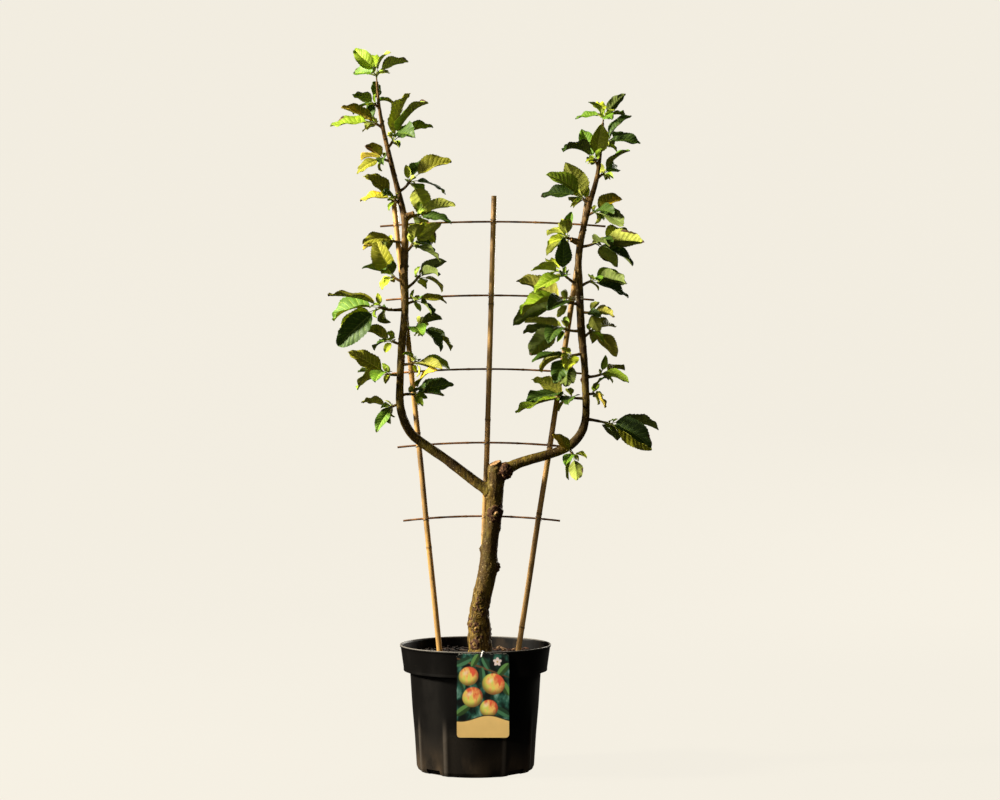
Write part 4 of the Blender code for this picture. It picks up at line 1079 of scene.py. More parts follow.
class OBJECT_OT_espalier_pot(bpy.types.Operator):
    """Builds the black pot with its rim band, foot ribs and drain notches"""

    bl_idname = "espalier.pot"
    bl_label = "Pot"

    def execute(self, context):
        look = context.scene.espalier_pot
        profile = finer(rounded(pot_profile(), 0.0007), 0.006)
        radius, height = (np.repeat(part[:, None], look.sides, axis=1) for part in profile.T)
        outside = np.arange(len(profile)) > np.argmax(profile[:, 1] >= LIP_FOOT)
        radius = np.where(outside[:, None], foot_relief(radius, height, look), radius)
        shape = Shape()
        add_tube(shape, turned(radius[1:-1], height[1:-1], look.sides)[:, ::-1])
        boxes = Shape()
        for number in range(NOTCH_COUNT):
            add_notch_box(boxes, math.tau * (number + 0.5) / NOTCH_COUNT)
        mesh = cut(shape.mesh("pot_shell"), boxes.mesh("notches"))
        mesh.materials.clear()
        self.mark_inside(mesh)
        add_piece("pot_shell", mesh, [pot_plastic(look), pot_inside(look)], ["pot"], crease=38)
        return {"FINISHED"}

    def mark_inside(self, mesh):
        """Faces that look towards the axis, below the lip, take the inner finish."""
        middle, normal = np.empty((2, len(mesh.polygons), 3))
        mesh.polygons.foreach_get("center", middle.ravel())
        mesh.polygons.foreach_get("normal", normal.ravel())
        inward = (middle[:, :2] * normal[:, :2]).sum(1) < 0
        inside = inward & (middle[:, 2] < LIP_FOOT)
        mesh.polygons.foreach_set("material_index", inside.astype(np.int32))


class OBJECT_OT_espalier_compost(bpy.types.Operator):
    """Builds the compost and the bark flakes that lie on it"""

    bl_idname = "espalier.compost"
    bl_label = "Compost"

    SIDES = 200
    RINGS = 64
    HUB = 0.0005
    FLAKE_SPREAD = 0.110
    TRUNK_ROOM = 0.026
    FLAKE_TONES = ((0.034, 0.015, 0.008), (0.070, 0.028, 0.014), (0.130, 0.060, 0.029), (0.290, 0.170, 0.085))
    FLAKE_SHARES = (0.38, 0.32, 0.22, 0.08)

    def execute(self, context):
        look = context.scene.espalier_compost
        self.compost(look)
        self.flakes(look)
        return {"FINISHED"}

    def surface(self, x, y, look):
        """Height of the compost: a low heap round the trunk, and lumps of three sizes."""
        far = np.hypot(x, y)
        places = np.stack([x, y, np.zeros_like(x)], -1)
        lumps = noise(places, 0.022, 1) * 0.9 + noise(places, 0.009, 2) * 0.6 + noise(places, 0.004, 3) * 0.35
        heap = SOIL_HEAP * smooth_step(far, 0.075, 0.020)
        return SOIL_LEVEL + heap + look.relief * lumps * smooth_step(far, 0.118, 0.100)

    def compost(self, look):
        """Rings from the underside up the pot's inner wall, and over the surface to its middle."""
        wall, floor, shelf = POT_WALL * 1.6, POT_WALL + SEAT, BAND_FOOT + POT_WALL * 1.5
        side = np.array([
            (self.HUB, floor),
            (BODY_FOOT_RADIUS - FOOT_ROUND - wall, floor),
            (BODY_FOOT_RADIUS - wall, FOOT_ROUND + 0.002),
            (BODY_TOP_RADIUS - POT_WALL * 1.5, BAND_FOOT),
            (BODY_TOP_RADIUS - POT_WALL * 1.5, shelf + SEAT),
            (band_inner_radius(shelf) - SEAT, shelf + SEAT),
        ])
        far = np.linspace(band_inner_radius(SOIL_LEVEL) - SEAT, self.HUB, self.RINGS)[:, None]
        turn = turns(self.SIDES)
        top = self.surface(far * np.cos(turn), far * np.sin(turn), look)
        radii = np.vstack([side[:, :1], far])
        heights = np.vstack([side[:, 1:] * np.ones(self.SIDES), top])
        shape = Shape()
        add_tube(shape, turned(radii[::-1], heights[::-1], self.SIDES)[:, ::-1])
        add_piece("compost_surface", shape, [compost_earth(look)], ["soil"])

    def flakes(self, look):
        """Flakes: flat balls of five rings with unequal corners, laid on the compost at a random slope."""
        draw = np.random.default_rng(SEED)
        shape = Shape()
        smooth = ball(5, 7, 0.12)
        for _ in range(look.flakes):
            far, turn = self.FLAKE_SPREAD * math.sqrt(draw.uniform(0.03, 0.99)), draw.uniform(0, math.tau)
            x, y = far * math.cos(turn), far * math.sin(turn)
            long = draw.uniform(0.0022, 0.0068)
            size = long * np.array([1.0, draw.uniform(0.35, 0.6), draw.uniform(0.12, 0.28)])
            yaw, (rise, roll) = draw.uniform(0, math.tau), draw.normal(0.0, 0.28, 2)
            rough = smooth * (1 + draw.uniform(-0.22, 0.22, smooth.shape[:2])[..., None]) * size
            if math.hypot(x - TRUNK[0][0], y) < self.TRUNK_ROOM + long:
                continue
            across = np.array([-math.sin(yaw), math.cos(yaw), roll])
            along = np.array([math.cos(yaw), math.sin(yaw), rise])
            ground = float(self.surface(np.array(x), np.array(y), look))
            place = np.array([x, y, ground + size[2] * 0.8 + abs(rise) * long * 0.3])
            rings = place + rough @ np.array([unit(along), unit(across), unit(np.cross(along, across))])
            add_tube(shape, rings, int(draw.choice(4, p=self.FLAKE_SHARES)))
        finishes = [flake_bark(f"flake_{number + 1}", tone) for number, tone in enumerate(self.FLAKE_TONES)]
        add_piece("bark_flakes", shape, finishes, ["soil"], crease=35)


class OBJECT_OT_espalier_label(bpy.types.Operator):
    """Builds the plant label and the white hook that hangs it on the rim"""

    bl_idname = "espalier.label"
    bl_label = "Label"

    ARC_STEPS = 8
    RINGS = 14
    LONGEST_EDGE = 0.006

    def execute(self, context):
        look = context.scene.espalier_label
        self.card(look)
        self.hook(look)
        return {"FINISHED"}

    def outline(self):
        """A rectangle with quarter circles for corners, anticlockwise seen from the front."""
        turn = math.tau * (np.arange(4)[:, None] + np.linspace(0.0, 1.0, self.ARC_STEPS + 1)) / 4
        signs = np.array([(1, 1), (-1, 1), (-1, -1), (1, -1)])
        middles = (np.array(LABEL_SIZE) / 2 - LABEL_CORNER) * signs
        arcs = middles[:, None] + LABEL_CORNER * np.stack([np.cos(turn), np.sin(turn)], -1)
        points = arcs.reshape(-1, 2)
        return finer(np.vstack([points, points[:1]]), self.LONGEST_EDGE)[:-1]

    def card(self, look):
        """Rings that shrink the outline to the card's middle, bowed forward by a parabola down the card."""
        x, z = np.moveaxis(self.outline() * np.linspace(1.0, 0.02, self.RINGS)[:, None, None], -1, 0)
        bow = look.bow * (0.7 - (z / (LABEL_SIZE[1] / 2)) ** 2)
        front = np.stack([x, -(SEAT + LABEL_THICK + bow), z], -1) + LABEL_MIDDLE
        rings = np.concatenate([front[::-1] + (0.0, LABEL_THICK, 0.0), front])
        uncoated = np.arange(len(rings) - 1) < self.RINGS
        shape = Shape()
        add_tube(shape, rings, np.repeat(uncoated.astype(int), rings.shape[1]), (1, 0))
        finishes = [label_print(look), plain_finish("card_back")]
        add_piece("label_card", shape, finishes, ["label"], crease=40)

    def hook(self, look):
        """A thin round strap that rises from the card, turns over the lip and goes down inside."""
        thick = look.hook
        lip_top = POT_HEIGHT + SEAT + thick * 0.5
        outside = -(RIM_RADIUS + SEAT + LABEL_THICK + thick * 0.5)
        inside = -(band_inner_radius(lip_top - STRAP_REACH) - SEAT - thick)
        middle, reach = (outside + inside) / 2, (inside - outside) / 2
        turn = np.linspace(math.pi, 0.0, 13)
        rise = reach * 0.55 * (np.sin(turn) - 1)
        bend = np.stack([LABEL_X + 0.0010 * np.cos(turn), middle + reach * np.cos(turn), lip_top + rise], -1)
        down = np.linspace(0.0, 1.0, 6)[1:, None]
        first = bend[0] + np.array([-0.0016, 0.0006, -0.0062]) * down[::-1]
        last = bend[-1] + np.array([0.0004, 0.0, -STRAP_REACH * 0.7]) * down
        path = np.vstack([first, bend, last])
        radii = np.full(len(path), thick)
        radii[[0, -1]] *= 0.6
        shape = Shape()
        add_tube(shape, rings_along(path, radii, 12, (1.0, 0.0, 0.0)))
        add_piece("label_hook", shape, [plain_finish("hook_plastic")], ["label"])


def smooth_path(points, steps=STEPS_PER_SPAN):
    """Points of (x, y, z, radius) on the Catmull-Rom curve through the given ones."""
    knots = np.array([points[0], *points, points[-1]], float)
    made = []
    for a, b, c, d in zip(knots, knots[1:], knots[2:], knots[3:]):
        for step in range(steps):
            t = step / steps
            made.append(0.5 * (
                2 * b + (c - a) * t + (2 * a - 5 * b + 4 * c - d) * t**2 + (3 * b - a - 3 * c + d) * t**3
            ))
    return np.array([*made, knots[-2]])


def trunk_path(steps=STEPS_PER_SPAN):
    """The trunk's smooth centreline, which stands upright where it leaves the compost."""
    path = smooth_path(TRUNK, steps)
    path[: steps // 3 + 1, :2] = path[0, :2]
    return path


def at_height(path, height):
    """Point, radius and direction of a path where it first reaches a height; its tip if height is None."""
    if height is None:
        return path[-1][:3], path[-1][3], unit(path[-1][:3] - path[-2][:3])
    i = int(np.argmax(path[1:, 2] >= height))
    share = (height - path[i, 2]) / (path[i + 1, 2] - path[i, 2])
    here = path[i] + (path[i + 1] - path[i]) * share
    return here[:3], here[3], unit(path[i + 1][:3] - path[i][:3])


def capsules(paths):
    """Every straight stretch of the limbs and canes, as its two ends and its radius."""
    starts = np.vstack([p[:-1, :3] for p in paths])
    ends = np.vstack([p[1:, :3] for p in paths])
    radii = np.concatenate([np.maximum(p[:-1, 3], p[1:, 3]) for p in paths])
    return starts, ends, radii


def capsule_gaps(points, obstacles):
    """Distance of each point from the skin of each capsule."""
    starts, ends, radii = obstacles
    run = ends - starts
    offset = points[:, None] - starts
    share = np.clip((offset * run).sum(-1) / (run * run).sum(-1), 0.0, 1.0)
    return np.linalg.norm(offset - run * share[..., None], axis=-1) - radii


class Limb:
    """A bark-covered limb: circles along its centreline, raised by knots, pores, ring scars and noise."""

    BARK, CALLUS, SAWN = range(3)

    def __init__(self, path, sides):
        self.centre, self.radius = path[:, :3], path[:, 3].copy()
        self.run = np.concatenate([[0.0], np.cumsum(np.linalg.norm(np.diff(self.centre, axis=0), axis=1))])
        self.turn = turns(sides)
        self.relief = np.zeros((len(path), sides))
        self.tone = np.zeros((len(path), sides), int)
        radius, run = np.broadcast_arrays(self.radius[:, None], self.run[:, None], self.relief)[:2]
        self.places = np.stack([radius * np.cos(self.turn), radius * np.sin(self.turn), run], -1)

    def fold(self, size, stretch, seed):
        """Noise on the unrolled limb, with its scale along the limb."""
        return noise(self.places * (1.0, 1.0, stretch), size, seed)

    def off(self, height, bearing):
        """Distance of each point from a place on the bark, measured along the bark."""
        run = np.interp(height, self.centre[:, 2], self.run)
        round_ = (self.turn[None, :] - math.radians(bearing) + math.pi) % math.tau - math.pi
        return np.hypot(round_ * self.radius[:, None], self.run[:, None] - run)

    def add_fillet(self, other, reach):
        """A smooth joint with another limb: the bark rises by reach * (1 - root(distance / reach)) squared."""
        gaps = capsule_gaps(self.rings().reshape(-1, 3), capsules([other])).min(-1).reshape(self.relief.shape)
        self.relief += reach * (1 - np.sqrt(np.clip(gaps / reach, 0.25, 1.0))) ** 2

    def add_bell(self, height, bearing, radius, high):
        """A smooth swelling or hollow."""
        self.relief += high * hump(self.off(height, bearing), 0.0, radius)

    def add_callus(self, height, bearing, radius, high):
        """A low bell with uneven rings round it, dark between its rim and its pale middle."""
        far = self.off(height, bearing) / radius
        near = far < 3
        places = self.places[near]
        away = far[near] * (1 + noise(places, 0.0045, 51) * 0.22)
        self.relief[near] += high * np.exp(-1.2 * away**2) * (1 + 0.42 * np.cos(9.5 * away))
        if high > 0:
            patchy = noise(places, 0.0032, 52)
            ring = (away > 0.30) & (away < 0.88) & (patchy > (-0.55 if radius > 0.0095 else -0.05))
            core = (away < 0.24) & (radius > 0.009) & (patchy > 0)
            self.tone[near] = np.where(core, self.SAWN, np.where(ring, self.CALLUS, self.tone[near]))

    def add_knots(self, knots):
        """Each knot is a callus a fifth wider than the knot itself, of no more than a small rise."""
        for height, bearing, radius, proud in knots:
            self.add_callus(height, bearing, radius * 1.2, min(proud, 0.0032) * 0.8)

    def add_pores(self, count, high, draw):
        """Corky pores: small bells at random places, wider round the limb than along it."""
        for _ in range(count):
            run, bearing = draw.uniform(0, self.run[-1]), draw.uniform(0, math.tau)
            size = draw.uniform(0.0007, 0.0016)
            near = np.abs(self.run - run) < size * 4
            round_ = (self.turn - bearing + math.pi) % math.tau - math.pi
            across = round_[None, :] * self.radius[near, None] / 1.3
            along = (self.run[near, None] - run) * 1.1
            self.relief[near] += high * np.exp(-(across**2 + along**2) / size**2)

    def add_ring_scars(self, heights, high):
        """A tight group of rings round the limb at each height, where a year's growth ended."""
        for height in heights:
            run = self.run - np.interp(height, self.centre[:, 2], self.run)
            rings = hump(run, 0.0, 0.0042) * (0.55 + 0.45 * np.cos(run * math.tau / 0.0021))
            self.relief += high * rings[:, None]

    def rings(self):
        """The limb's circles, raised by its relief."""
        return rings_along(self.centre, self.radius[:, None] + self.relief, len(self.turn))


def add_stub(shape, path, knot):
    """A pruned stub: a short tapering tube that swells to a lip of callus round its sawn end."""
    height, bearing, radius, proud = knot
    root, thick, _ = at_height(path, height)
    turn = math.radians(bearing)
    along = unit(np.array([math.cos(turn), math.sin(turn), 0.35]))
    length = (thick + proud) / math.hypot(along[0], along[1])
    even = np.linspace(0.0, 1.0, len(STUB_SHARES))
    rings = rings_along(root + along * (length * even)[:, None], radius * STUB_SWELLS, STUB_SIDES)
    rings += (along * (length * (STUB_SHARES - even))[:, None])[:, None]
    rings += noise(rings, 0.004, 5)[..., None] * 0.0004
    sawn = np.arange(len(even) - 1) >= STUB_SAWN_FROM
    add_tube(shape, rings, np.repeat(np.where(sawn, Limb.SAWN, Limb.BARK), STUB_SIDES), Limb.SAWN)


class OBJECT_OT_espalier_limbs(bpy.types.Operator):
    """Builds the trunk and the two arms with the relief of their bark"""

    bl_idname = "espalier.limbs"
    bl_label = "Trunk and arms"

    TRUNK_STEPS = 36
    ARM_STEPS = 30
    TRUNK_PORES = 420
    ARM_PORES = 260
    CUT_SHARES = (0.08, 0.20, 0.32, 0.46, 0.62, 0.80)
    ARM_RADIUS = 0.0075

    def execute(self, context):
        look = context.scene.espalier_tree
        finishes = [bark(look), plain_finish("knot_bark"), plain_finish("sawn_wood")]
        self.trunk(look, finishes)
        self.arm("left", LEFT_ARM, LEFT_KNOTS, LEFT_SCARS, look, finishes)
        self.arm("right", RIGHT_ARM, RIGHT_KNOTS, RIGHT_SCARS, look, finishes)
        return {"FINISHED"}

    def trunk(self, look, finishes):
        """Furrowed low down and smoother above, with root lobes at its foot and a sloping cut on top."""
        made = Limb(trunk_path(self.TRUNK_STEPS), look.trunk_sides)
        height = made.centre[:, 2][:, None]
        low = smooth_step(height, 0.31, 0.22)
        furrows = made.fold(0.0042, 0.55, 11)
        warts = np.abs(made.fold(0.0075, 0.8, 12)) - 0.3
        waves = made.fold(0.020, 0.5, 13)
        made.relief += look.furrow * (low * (0.8 * furrows + 1.1 * warts) + 0.28 * furrows + 0.75 * waves)
        lobes = np.cos(3 * made.turn + 0.6) * 0.5 + np.cos(5 * made.turn + 2.0) * 0.35
        made.relief += 0.0022 * smooth_step(height, 0.206, 0.184) * lobes
        made.relief += 0.0010 * smooth_step(height, 0.470, 0.484) * made.fold(0.0060, 1.0, 15)
        made.add_knots(TRUNK_KNOTS)
        for bell in TRUNK_BELLS:
            made.add_bell(*bell)
        made.add_fillet(smooth_path(LEFT_ARM), JOINT_REACH)
        for scar in TRUNK_SCARS:
            made.add_callus(*scar)
        made.add_pores(self.TRUNK_PORES, look.lenticel, np.random.default_rng(SEED))
        made.radius[-1] *= 0.90
        rings = self.slope_top(made.rings(), made.centre[:, None], height)
        shares = np.array(self.CUT_SHARES)[:, None, None]
        sawn = rings[-1] + (rings[-1].mean(0) - rings[-1]) * shares
        sawn[..., 2] += np.where(shares[..., 0] < 0.15, 0.0005, -0.0004) + noise(sawn, 0.0050, 14) * 0.0011
        sunk = rings[:1] - (0.0, 0.0, TRUNK_SUNK)
        tones = np.concatenate([
            np.full(look.trunk_sides, Limb.BARK),
            made.tone[:-1].ravel(),
            np.full(look.trunk_sides, Limb.CALLUS),
            np.full(look.trunk_sides * (len(sawn) - 1), Limb.SAWN),
        ])
        shape = Shape()
        add_tube(shape, np.concatenate([sunk, rings, sawn]), tones, Limb.SAWN)
        self.burl(shape)
        add_piece("trunk_bark", shape, finishes, ["trunk"], crease=70)

    def slope_top(self, rings, axis, height):
        """Tips the last stretch of the trunk into a sloping cut, and shifts it a little to the left."""
        top = smooth_step(height, TRUNK[-1][2] - 0.014, TRUNK[-1][2])
        away = rings - axis
        rings[..., 2] += top * (away[..., 1] * 0.30 + away[..., 0] * 0.42 - 0.0022)
        rings[..., 0] -= 0.0042 * smooth_step(height, 0.450, 0.484)
        return rings

    def burl(self, shape):
        """A ball with three half sizes, raised by folds: the absolute value of noise at two sizes."""
        middle, sizes = (np.array(part) for part in BURL)
        smooth = ball(40, 52, 0.06)
        folds = np.abs(noise(smooth, 0.34, 61)) * 0.16 + np.abs(noise(smooth, 0.15, 62)) * 0.07
        rings = middle + smooth * (0.90 + folds)[..., None] * sizes
        pale = noise(rings[:-1], 0.0042, 63) > 0.66
        add_tube(shape, rings, np.where(pale, Limb.SAWN, Limb.CALLUS).ravel(), Limb.CALLUS)

    def arm(self, side, points, knots, scars, look, finishes):
        """Smooth young wood, folded and joined smoothly where it leaves the trunk, with ring scars."""
        made = Limb(smooth_path(points, self.ARM_STEPS), look.arm_sides)
        made.radius *= 0.62 + 0.38 * smooth_step(made.run, -0.002, 0.0075)
        made.add_fillet(smooth_path(TRUNK), JOINT_REACH)
        thin = (made.radius / self.ARM_RADIUS)[:, None]
        made.relief += 0.00032 * thin * made.fold(0.0030, 0.30, 21)
        made.relief += 0.00060 * thin * made.fold(0.016, 0.5, 22)
        made.relief += 0.0014 * np.abs(made.fold(0.0055, 1.8, 23)) * np.exp(-made.run / 0.016)[:, None]
        made.add_knots(knots)
        made.add_ring_scars(scars, 0.0006)
        made.add_pores(self.ARM_PORES, look.lenticel * 0.8, np.random.default_rng(SEED + len(points)))
        shape = Shape()
        add_tube(shape, made.rings(), made.tone[:-1].ravel(), Limb.BARK)
        for knot in knots:
            if knot[3] > STUB_PROUD:
                add_stub(shape, smooth_path(points), knot)
        nodes = (f"{side}_arm_slant", f"{side}_arm_upright", f"{side}_leader")
        add_piece(f"{side}_arm_bark", shape, finishes, nodes, crease=70)


def cane_joints(first_joint, length):
    """Places of a cane's bamboo joints along it."""
    return np.arange(first_joint, length - 0.03, CANE_JOINT_GAP)


def cane_paths():
    """Centreline of each cane from its foot in the compost, swollen a little at each bamboo joint."""
    paths = []
    for foot, top, first_joint in zip(CANE_FEET_X, CANE_TOPS_X, CANE_FIRST_JOINTS):
        low = np.array([foot, CANE_FOOT_Y, SOIL_LEVEL])
        high = np.array([top, CANE_TOP_Y, CANE_TOP])
        run = unit(high - low)
        start = low - run * (SOIL_LEVEL - CANE_FOOT) / run[2]
        length = np.linalg.norm(high - start)
        rings = [(0.0, 1.0)]
        for joint in cane_joints(first_joint, length):
            rings += [(joint - 0.004, 0.98), (joint, CANE_JOINT_SWELL), (joint + 0.004, 0.98)]
        rings.append((length, 0.92))
        paths.append(np.array([[*(start + run * s), CANE_RADIUS * swell] for s, swell in rings]))
    return paths


def cane_y(height):
    """Depth of the canes' axes at a height."""
    return CANE_FOOT_Y + (CANE_TOP_Y - CANE_FOOT_Y) * (height - SOIL_LEVEL) / (CANE_TOP - SOIL_LEVEL)


def bar_line(number, share):
    """Points on a bar's centreline, bowed up in its middle by a parabola. share runs from -1 to 1 along it."""
    half = (FIRST_BAR_SPAN + BAR_SPAN_RISE * number) / 2
    middle = FIRST_BAR_MIDDLE + BAR_MIDDLE_RISE * number
    z = FIRST_BAR + BAR_RISE * number - BAR_BOW * share**2
    return np.stack([middle + half * share, cane_y(z) + BAR_BEHIND, z], -1)


def bar_paths():
    """Centreline of each bar, against the backs of the canes, with its radius."""
    share = np.linspace(-1.0, 1.0, 7)
    return [np.insert(bar_line(number, share), 3, BAR_RADIUS, axis=1) for number in range(BAR_COUNT)]


class OBJECT_OT_espalier_trellis(bpy.types.Operator):
    """Builds the bamboo canes, the thin bars, the wires at their crossings and the tie round the right arm"""

    bl_idname = "espalier.trellis"
    bl_label = "Trellis"

    CANE_SIDES = 20
    CANE_BORE = 0.45
    BORE_DEPTH = 0.006
    BAR_SIDES = 12
    BAR_JOINTS = np.array([-0.72, -0.20, 0.38, 0.80])
    WIRE_TILTS = (-0.75, 0.75)
    TIE_TURNS = 3

    def execute(self, context):
        look = context.scene.espalier_trellis
        canes = [bamboo(look), cane_joint(look)]
        for side, path, joint in zip(("left", "middle", "right"), cane_paths(), CANE_FIRST_JOINTS):
            self.cane(side, path, joint, canes)
        bars = [bar_wood(look)]
        for number in range(BAR_COUNT):
            self.bar(number, bars)
        self.wires(look)
        self.tie()
        return {"FINISHED"}

    def cane(self, side, path, first_joint, finishes):
        """A tube that swells to a double ring at each joint, with a grooved section and a hollow sawn top."""
        start, end = path[0, :3], path[-1, :3]
        length = np.linalg.norm(end - start)
        joints = cane_joints(first_joint, length)
        near = (joints[:, None] + np.linspace(-0.008, 0.008, 17)).ravel()
        run = np.unique(np.concatenate([np.linspace(0, length, 90), near]))
        off = run[:, None] - joints
        double_rings = 0.11 * hump(off, 0.0, 0.0018) + 0.04 * hump(off, 0.0042, 0.0011)
        swell = 1.0 - 0.05 * run / length + double_rings.sum(1)
        oval = 1 + 0.03 * np.cos(2 * turns(self.CANE_SIDES) + 0.8)
        centre = start + (end - start) * (run / length)[:, None]
        sway = noise(np.stack([run, run * 0, run * 0], -1), 0.11, 31)
        centre[:, 0] += sway * 0.0006 * np.sin(math.pi * run / length)
        rings = rings_along(centre, CANE_RADIUS * swell[:, None] * oval, self.CANE_SIDES)
        grain = noise(rings * (1.0, 1.0, 0.03), 0.0016, 33)
        axis = centre[:, None]
        rings = axis + (rings - axis) * (1 + 0.022 * grain[..., None])
        lip = end + (rings[-1:] - end) * self.CANE_BORE
        rings = np.concatenate([rings, lip, lip - unit(end - start) * self.BORE_DEPTH])
        brown = (np.abs(off + 0.0004) < 0.0016).any(1)
        brown = np.concatenate([brown[:-1], [True, True]]).astype(int)
        shape = Shape()
        add_tube(shape, rings, np.repeat(brown, self.CANE_SIDES), 1)
        add_piece(f"cane_{side}_bamboo", shape, finishes, [f"trellis_cane_{side}"], crease=60)

    def bar(self, number, finishes):
        """A thin stick of slightly uneven section along the bar's bow, with small joints."""
        centre = bar_line(number, np.linspace(-1, 1, 110))
        along = centre[:, :1] * (1.0, 0.0, 0.0) + number
        radius = BAR_RADIUS * (1 + 0.07 * noise(along, 0.012, 41) + 0.05 * noise(along, 0.004, 42))
        radius += 0.0004 * hump(centre[:, :1], bar_line(number, self.BAR_JOINTS)[:, 0], 0.0016).sum(1)
        shape = Shape()
        add_tube(shape, rings_along(centre, radius, self.BAR_SIDES, (0.0, 0.0, 1.0)))
        nodes = [f"trellis_bar_{number + 1}"]
        add_piece(f"bar_{number + 1}_wood", shape, finishes, nodes, crease=60)

    def wires(self, look):
        """Two slanting loops of wire round each crossing: an ellipse round cane and bar, tilted either way."""
        shape = Shape()
        round_ = np.arange(25) * math.tau / 24
        deep = (CANE_RADIUS + BAR_RADIUS + look.wire) * np.sin(round_)
        wide = (CANE_RADIUS + look.wire * 1.5) * np.cos(round_)
        for number in range(BAR_COUNT):
            line = bar_line(number, np.linspace(-1.0, 1.0, 201))
            for cane in cane_paths():
                low, high = cane[0, :3], cane[-1, :3]
                cane_x = low[0] + (high[0] - low[0]) * (line[:, 2] - low[2]) / (high[2] - low[2])
                best = int(np.argmin(np.abs(line[:, 0] - cane_x)))
                middle = np.array([cane_x[best], line[best, 1] - CANE_RADIUS - SEAT / 2, line[best, 2]])
                for tilt in self.WIRE_TILTS:
                    loop = middle + np.stack([wide, deep, tilt * wide], -1)
                    add_twig(shape, loop, np.full(25, look.wire), 6)
        add_piece("crossing_wires", shape, [plain_finish("tie_wire")])

    def tie(self):
        """Three turns of raffia round the right arm and its cane: a flattened helix."""
        arm, thick, _ = at_height(smooth_path(RIGHT_ARM), TIE_HEIGHT)
        low, high = cane_paths()[2][[0, -1], :3]
        cane = low + (high - low) * (TIE_HEIGHT - low[2]) / (high[2] - low[2])
        span = cane - arm
        across = unit(span)
        front = np.cross((0.0, 0.0, 1.0), across)
        deep = (thick + CANE_RADIUS) / 2 + 0.0015
        wide = np.linalg.norm(span) / 2 + (thick + CANE_RADIUS) / 2 + 0.0012
        turn = np.linspace(0, self.TIE_TURNS * math.tau, 109)
        path = (arm + cane) / 2 + across * (wide * np.cos(turn))[:, None]
        path = path + front * (deep * np.sin(turn))[:, None]
        path[:, 2] += 0.0022 * turn / math.tau + 0.0006 * np.cos(turn * 1.7)
        shape = Shape()
        add_twig(shape, path, 0.0009 + 0.0001 * np.cos(turn * 9), 8)
        add_piece("arm_tie", shape, [plain_finish("raffia")])


def aim_of(angle, turn):
    """Unit vector at an angle in the picture plane, turned to the back by another."""
    angle, turn = math.radians(angle), math.radians(turn)
    return np.array([math.cos(angle) * math.cos(turn), math.sin(turn), math.sin(angle) * math.cos(turn)])


def blade_profile(u):
    """Half width along the blade as a share of its widest: ovate, with a short drawn-out tip."""
    u = np.asarray(u, float)
    body = np.sin(np.pi * u**0.86) ** 0.78
    return np.where(u > 0.86, np.minimum(body, body[()] * (1.86 - u)), body)


def blade_points(leaf, u, v, lift=0.0):
    """Points of a leaf's blade: u runs from its foot to its tip, v from edge to edge, lift off the surface.

    The midrib is an arc that droops away from the blade's upper side, each half is raised by the fold, and the
    cross line turns about the midrib by the twist.
    """
    u, v, lift = np.broadcast_arrays(np.asarray(u, float), np.asarray(v, float), np.asarray(lift, float))
    bend = leaf["droop"] * u
    run = leaf["length"] * np.sin(bend) / leaf["droop"]
    fall = leaf["length"] * (1 - np.cos(bend)) / leaf["droop"]
    side = np.cross(leaf["along"], leaf["up"])
    up = leaf["up"] * np.cos(bend)[..., None] + leaf["along"] * np.sin(bend)[..., None]
    turn = leaf["twist"] * (u - 0.3)
    across = side * np.cos(turn)[..., None] + up * np.sin(turn)[..., None]
    above = up * np.cos(turn)[..., None] - side * np.sin(turn)[..., None]
    half = leaf["width"] / 2 * blade_profile(u)
    out = half * v * math.cos(leaf["fold"])
    raised = half * np.abs(v) * math.sin(leaf["fold"]) + lift
    middle = leaf["foot"] + leaf["along"] * run[..., None] - leaf["up"] * fall[..., None]
    return middle + across * out[..., None] + above * raised[..., None]


def petiole_points(leaf, shares):
    """Points of the leaf's stalk, which leaves its spur and bends into the blade (a quadratic curve)."""
    t = np.asarray(shares, float)[:, None]
    a, b, c = leaf["root"], leaf["knee"], leaf["foot"]
    return a * (1 - t) ** 2 + 2 * b * t * (1 - t) + c * t**2


def leaf_samples(leaf):
    """Points spread over a blade and its stalk, with which its room is measured."""
    u, v = np.meshgrid(np.linspace(0.04, 1.0, SAMPLES_ALONG), np.linspace(-1, 1, SAMPLES_ACROSS))
    blade = blade_points(leaf, u.ravel(), v.ravel())
    return np.vstack([blade, petiole_points(leaf, (0.6, 0.8, 1.0))])


def clear_of_limbs(points, obstacles, room=LIMB_ROOM):
    """Whether all points stay a distance off every capsule."""
    return bool((capsule_gaps(points, obstacles) > room).all())


def ball_round(points):
    """Middle and radius of a ball that holds all points."""
    middle = points.mean(0)
    return middle, np.linalg.norm(points - middle, axis=1).max()


def clear_of_leaves(points, placed, room=LEAF_ROOM):
    """Whether all points stay a distance off the points of the leaves placed so far.

    Only leaves whose ball comes near the ball round the points are measured.
    """
    middle, reach = ball_round(points)
    middles = np.array([leaf["ball"][0] for leaf in placed]).reshape(-1, 3)
    reaches = np.array([leaf["ball"][1] for leaf in placed])
    near = np.linalg.norm(middles - middle, axis=1) < reaches + reach + room
    others = (placed[i]["samples"] for i in np.flatnonzero(near))
    return all(np.linalg.norm(other[:, None] - points, axis=-1).min() > room for other in others)


def place_leaf(leaf, points, tone, leaves, placed):
    """Keeps a leaf that has found its room, with its sample points and the ball round them."""
    leaf["samples"], leaf["ball"], leaf["tone"] = points, ball_round(points), tone
    leaves.append(leaf)
    placed.append(leaf)


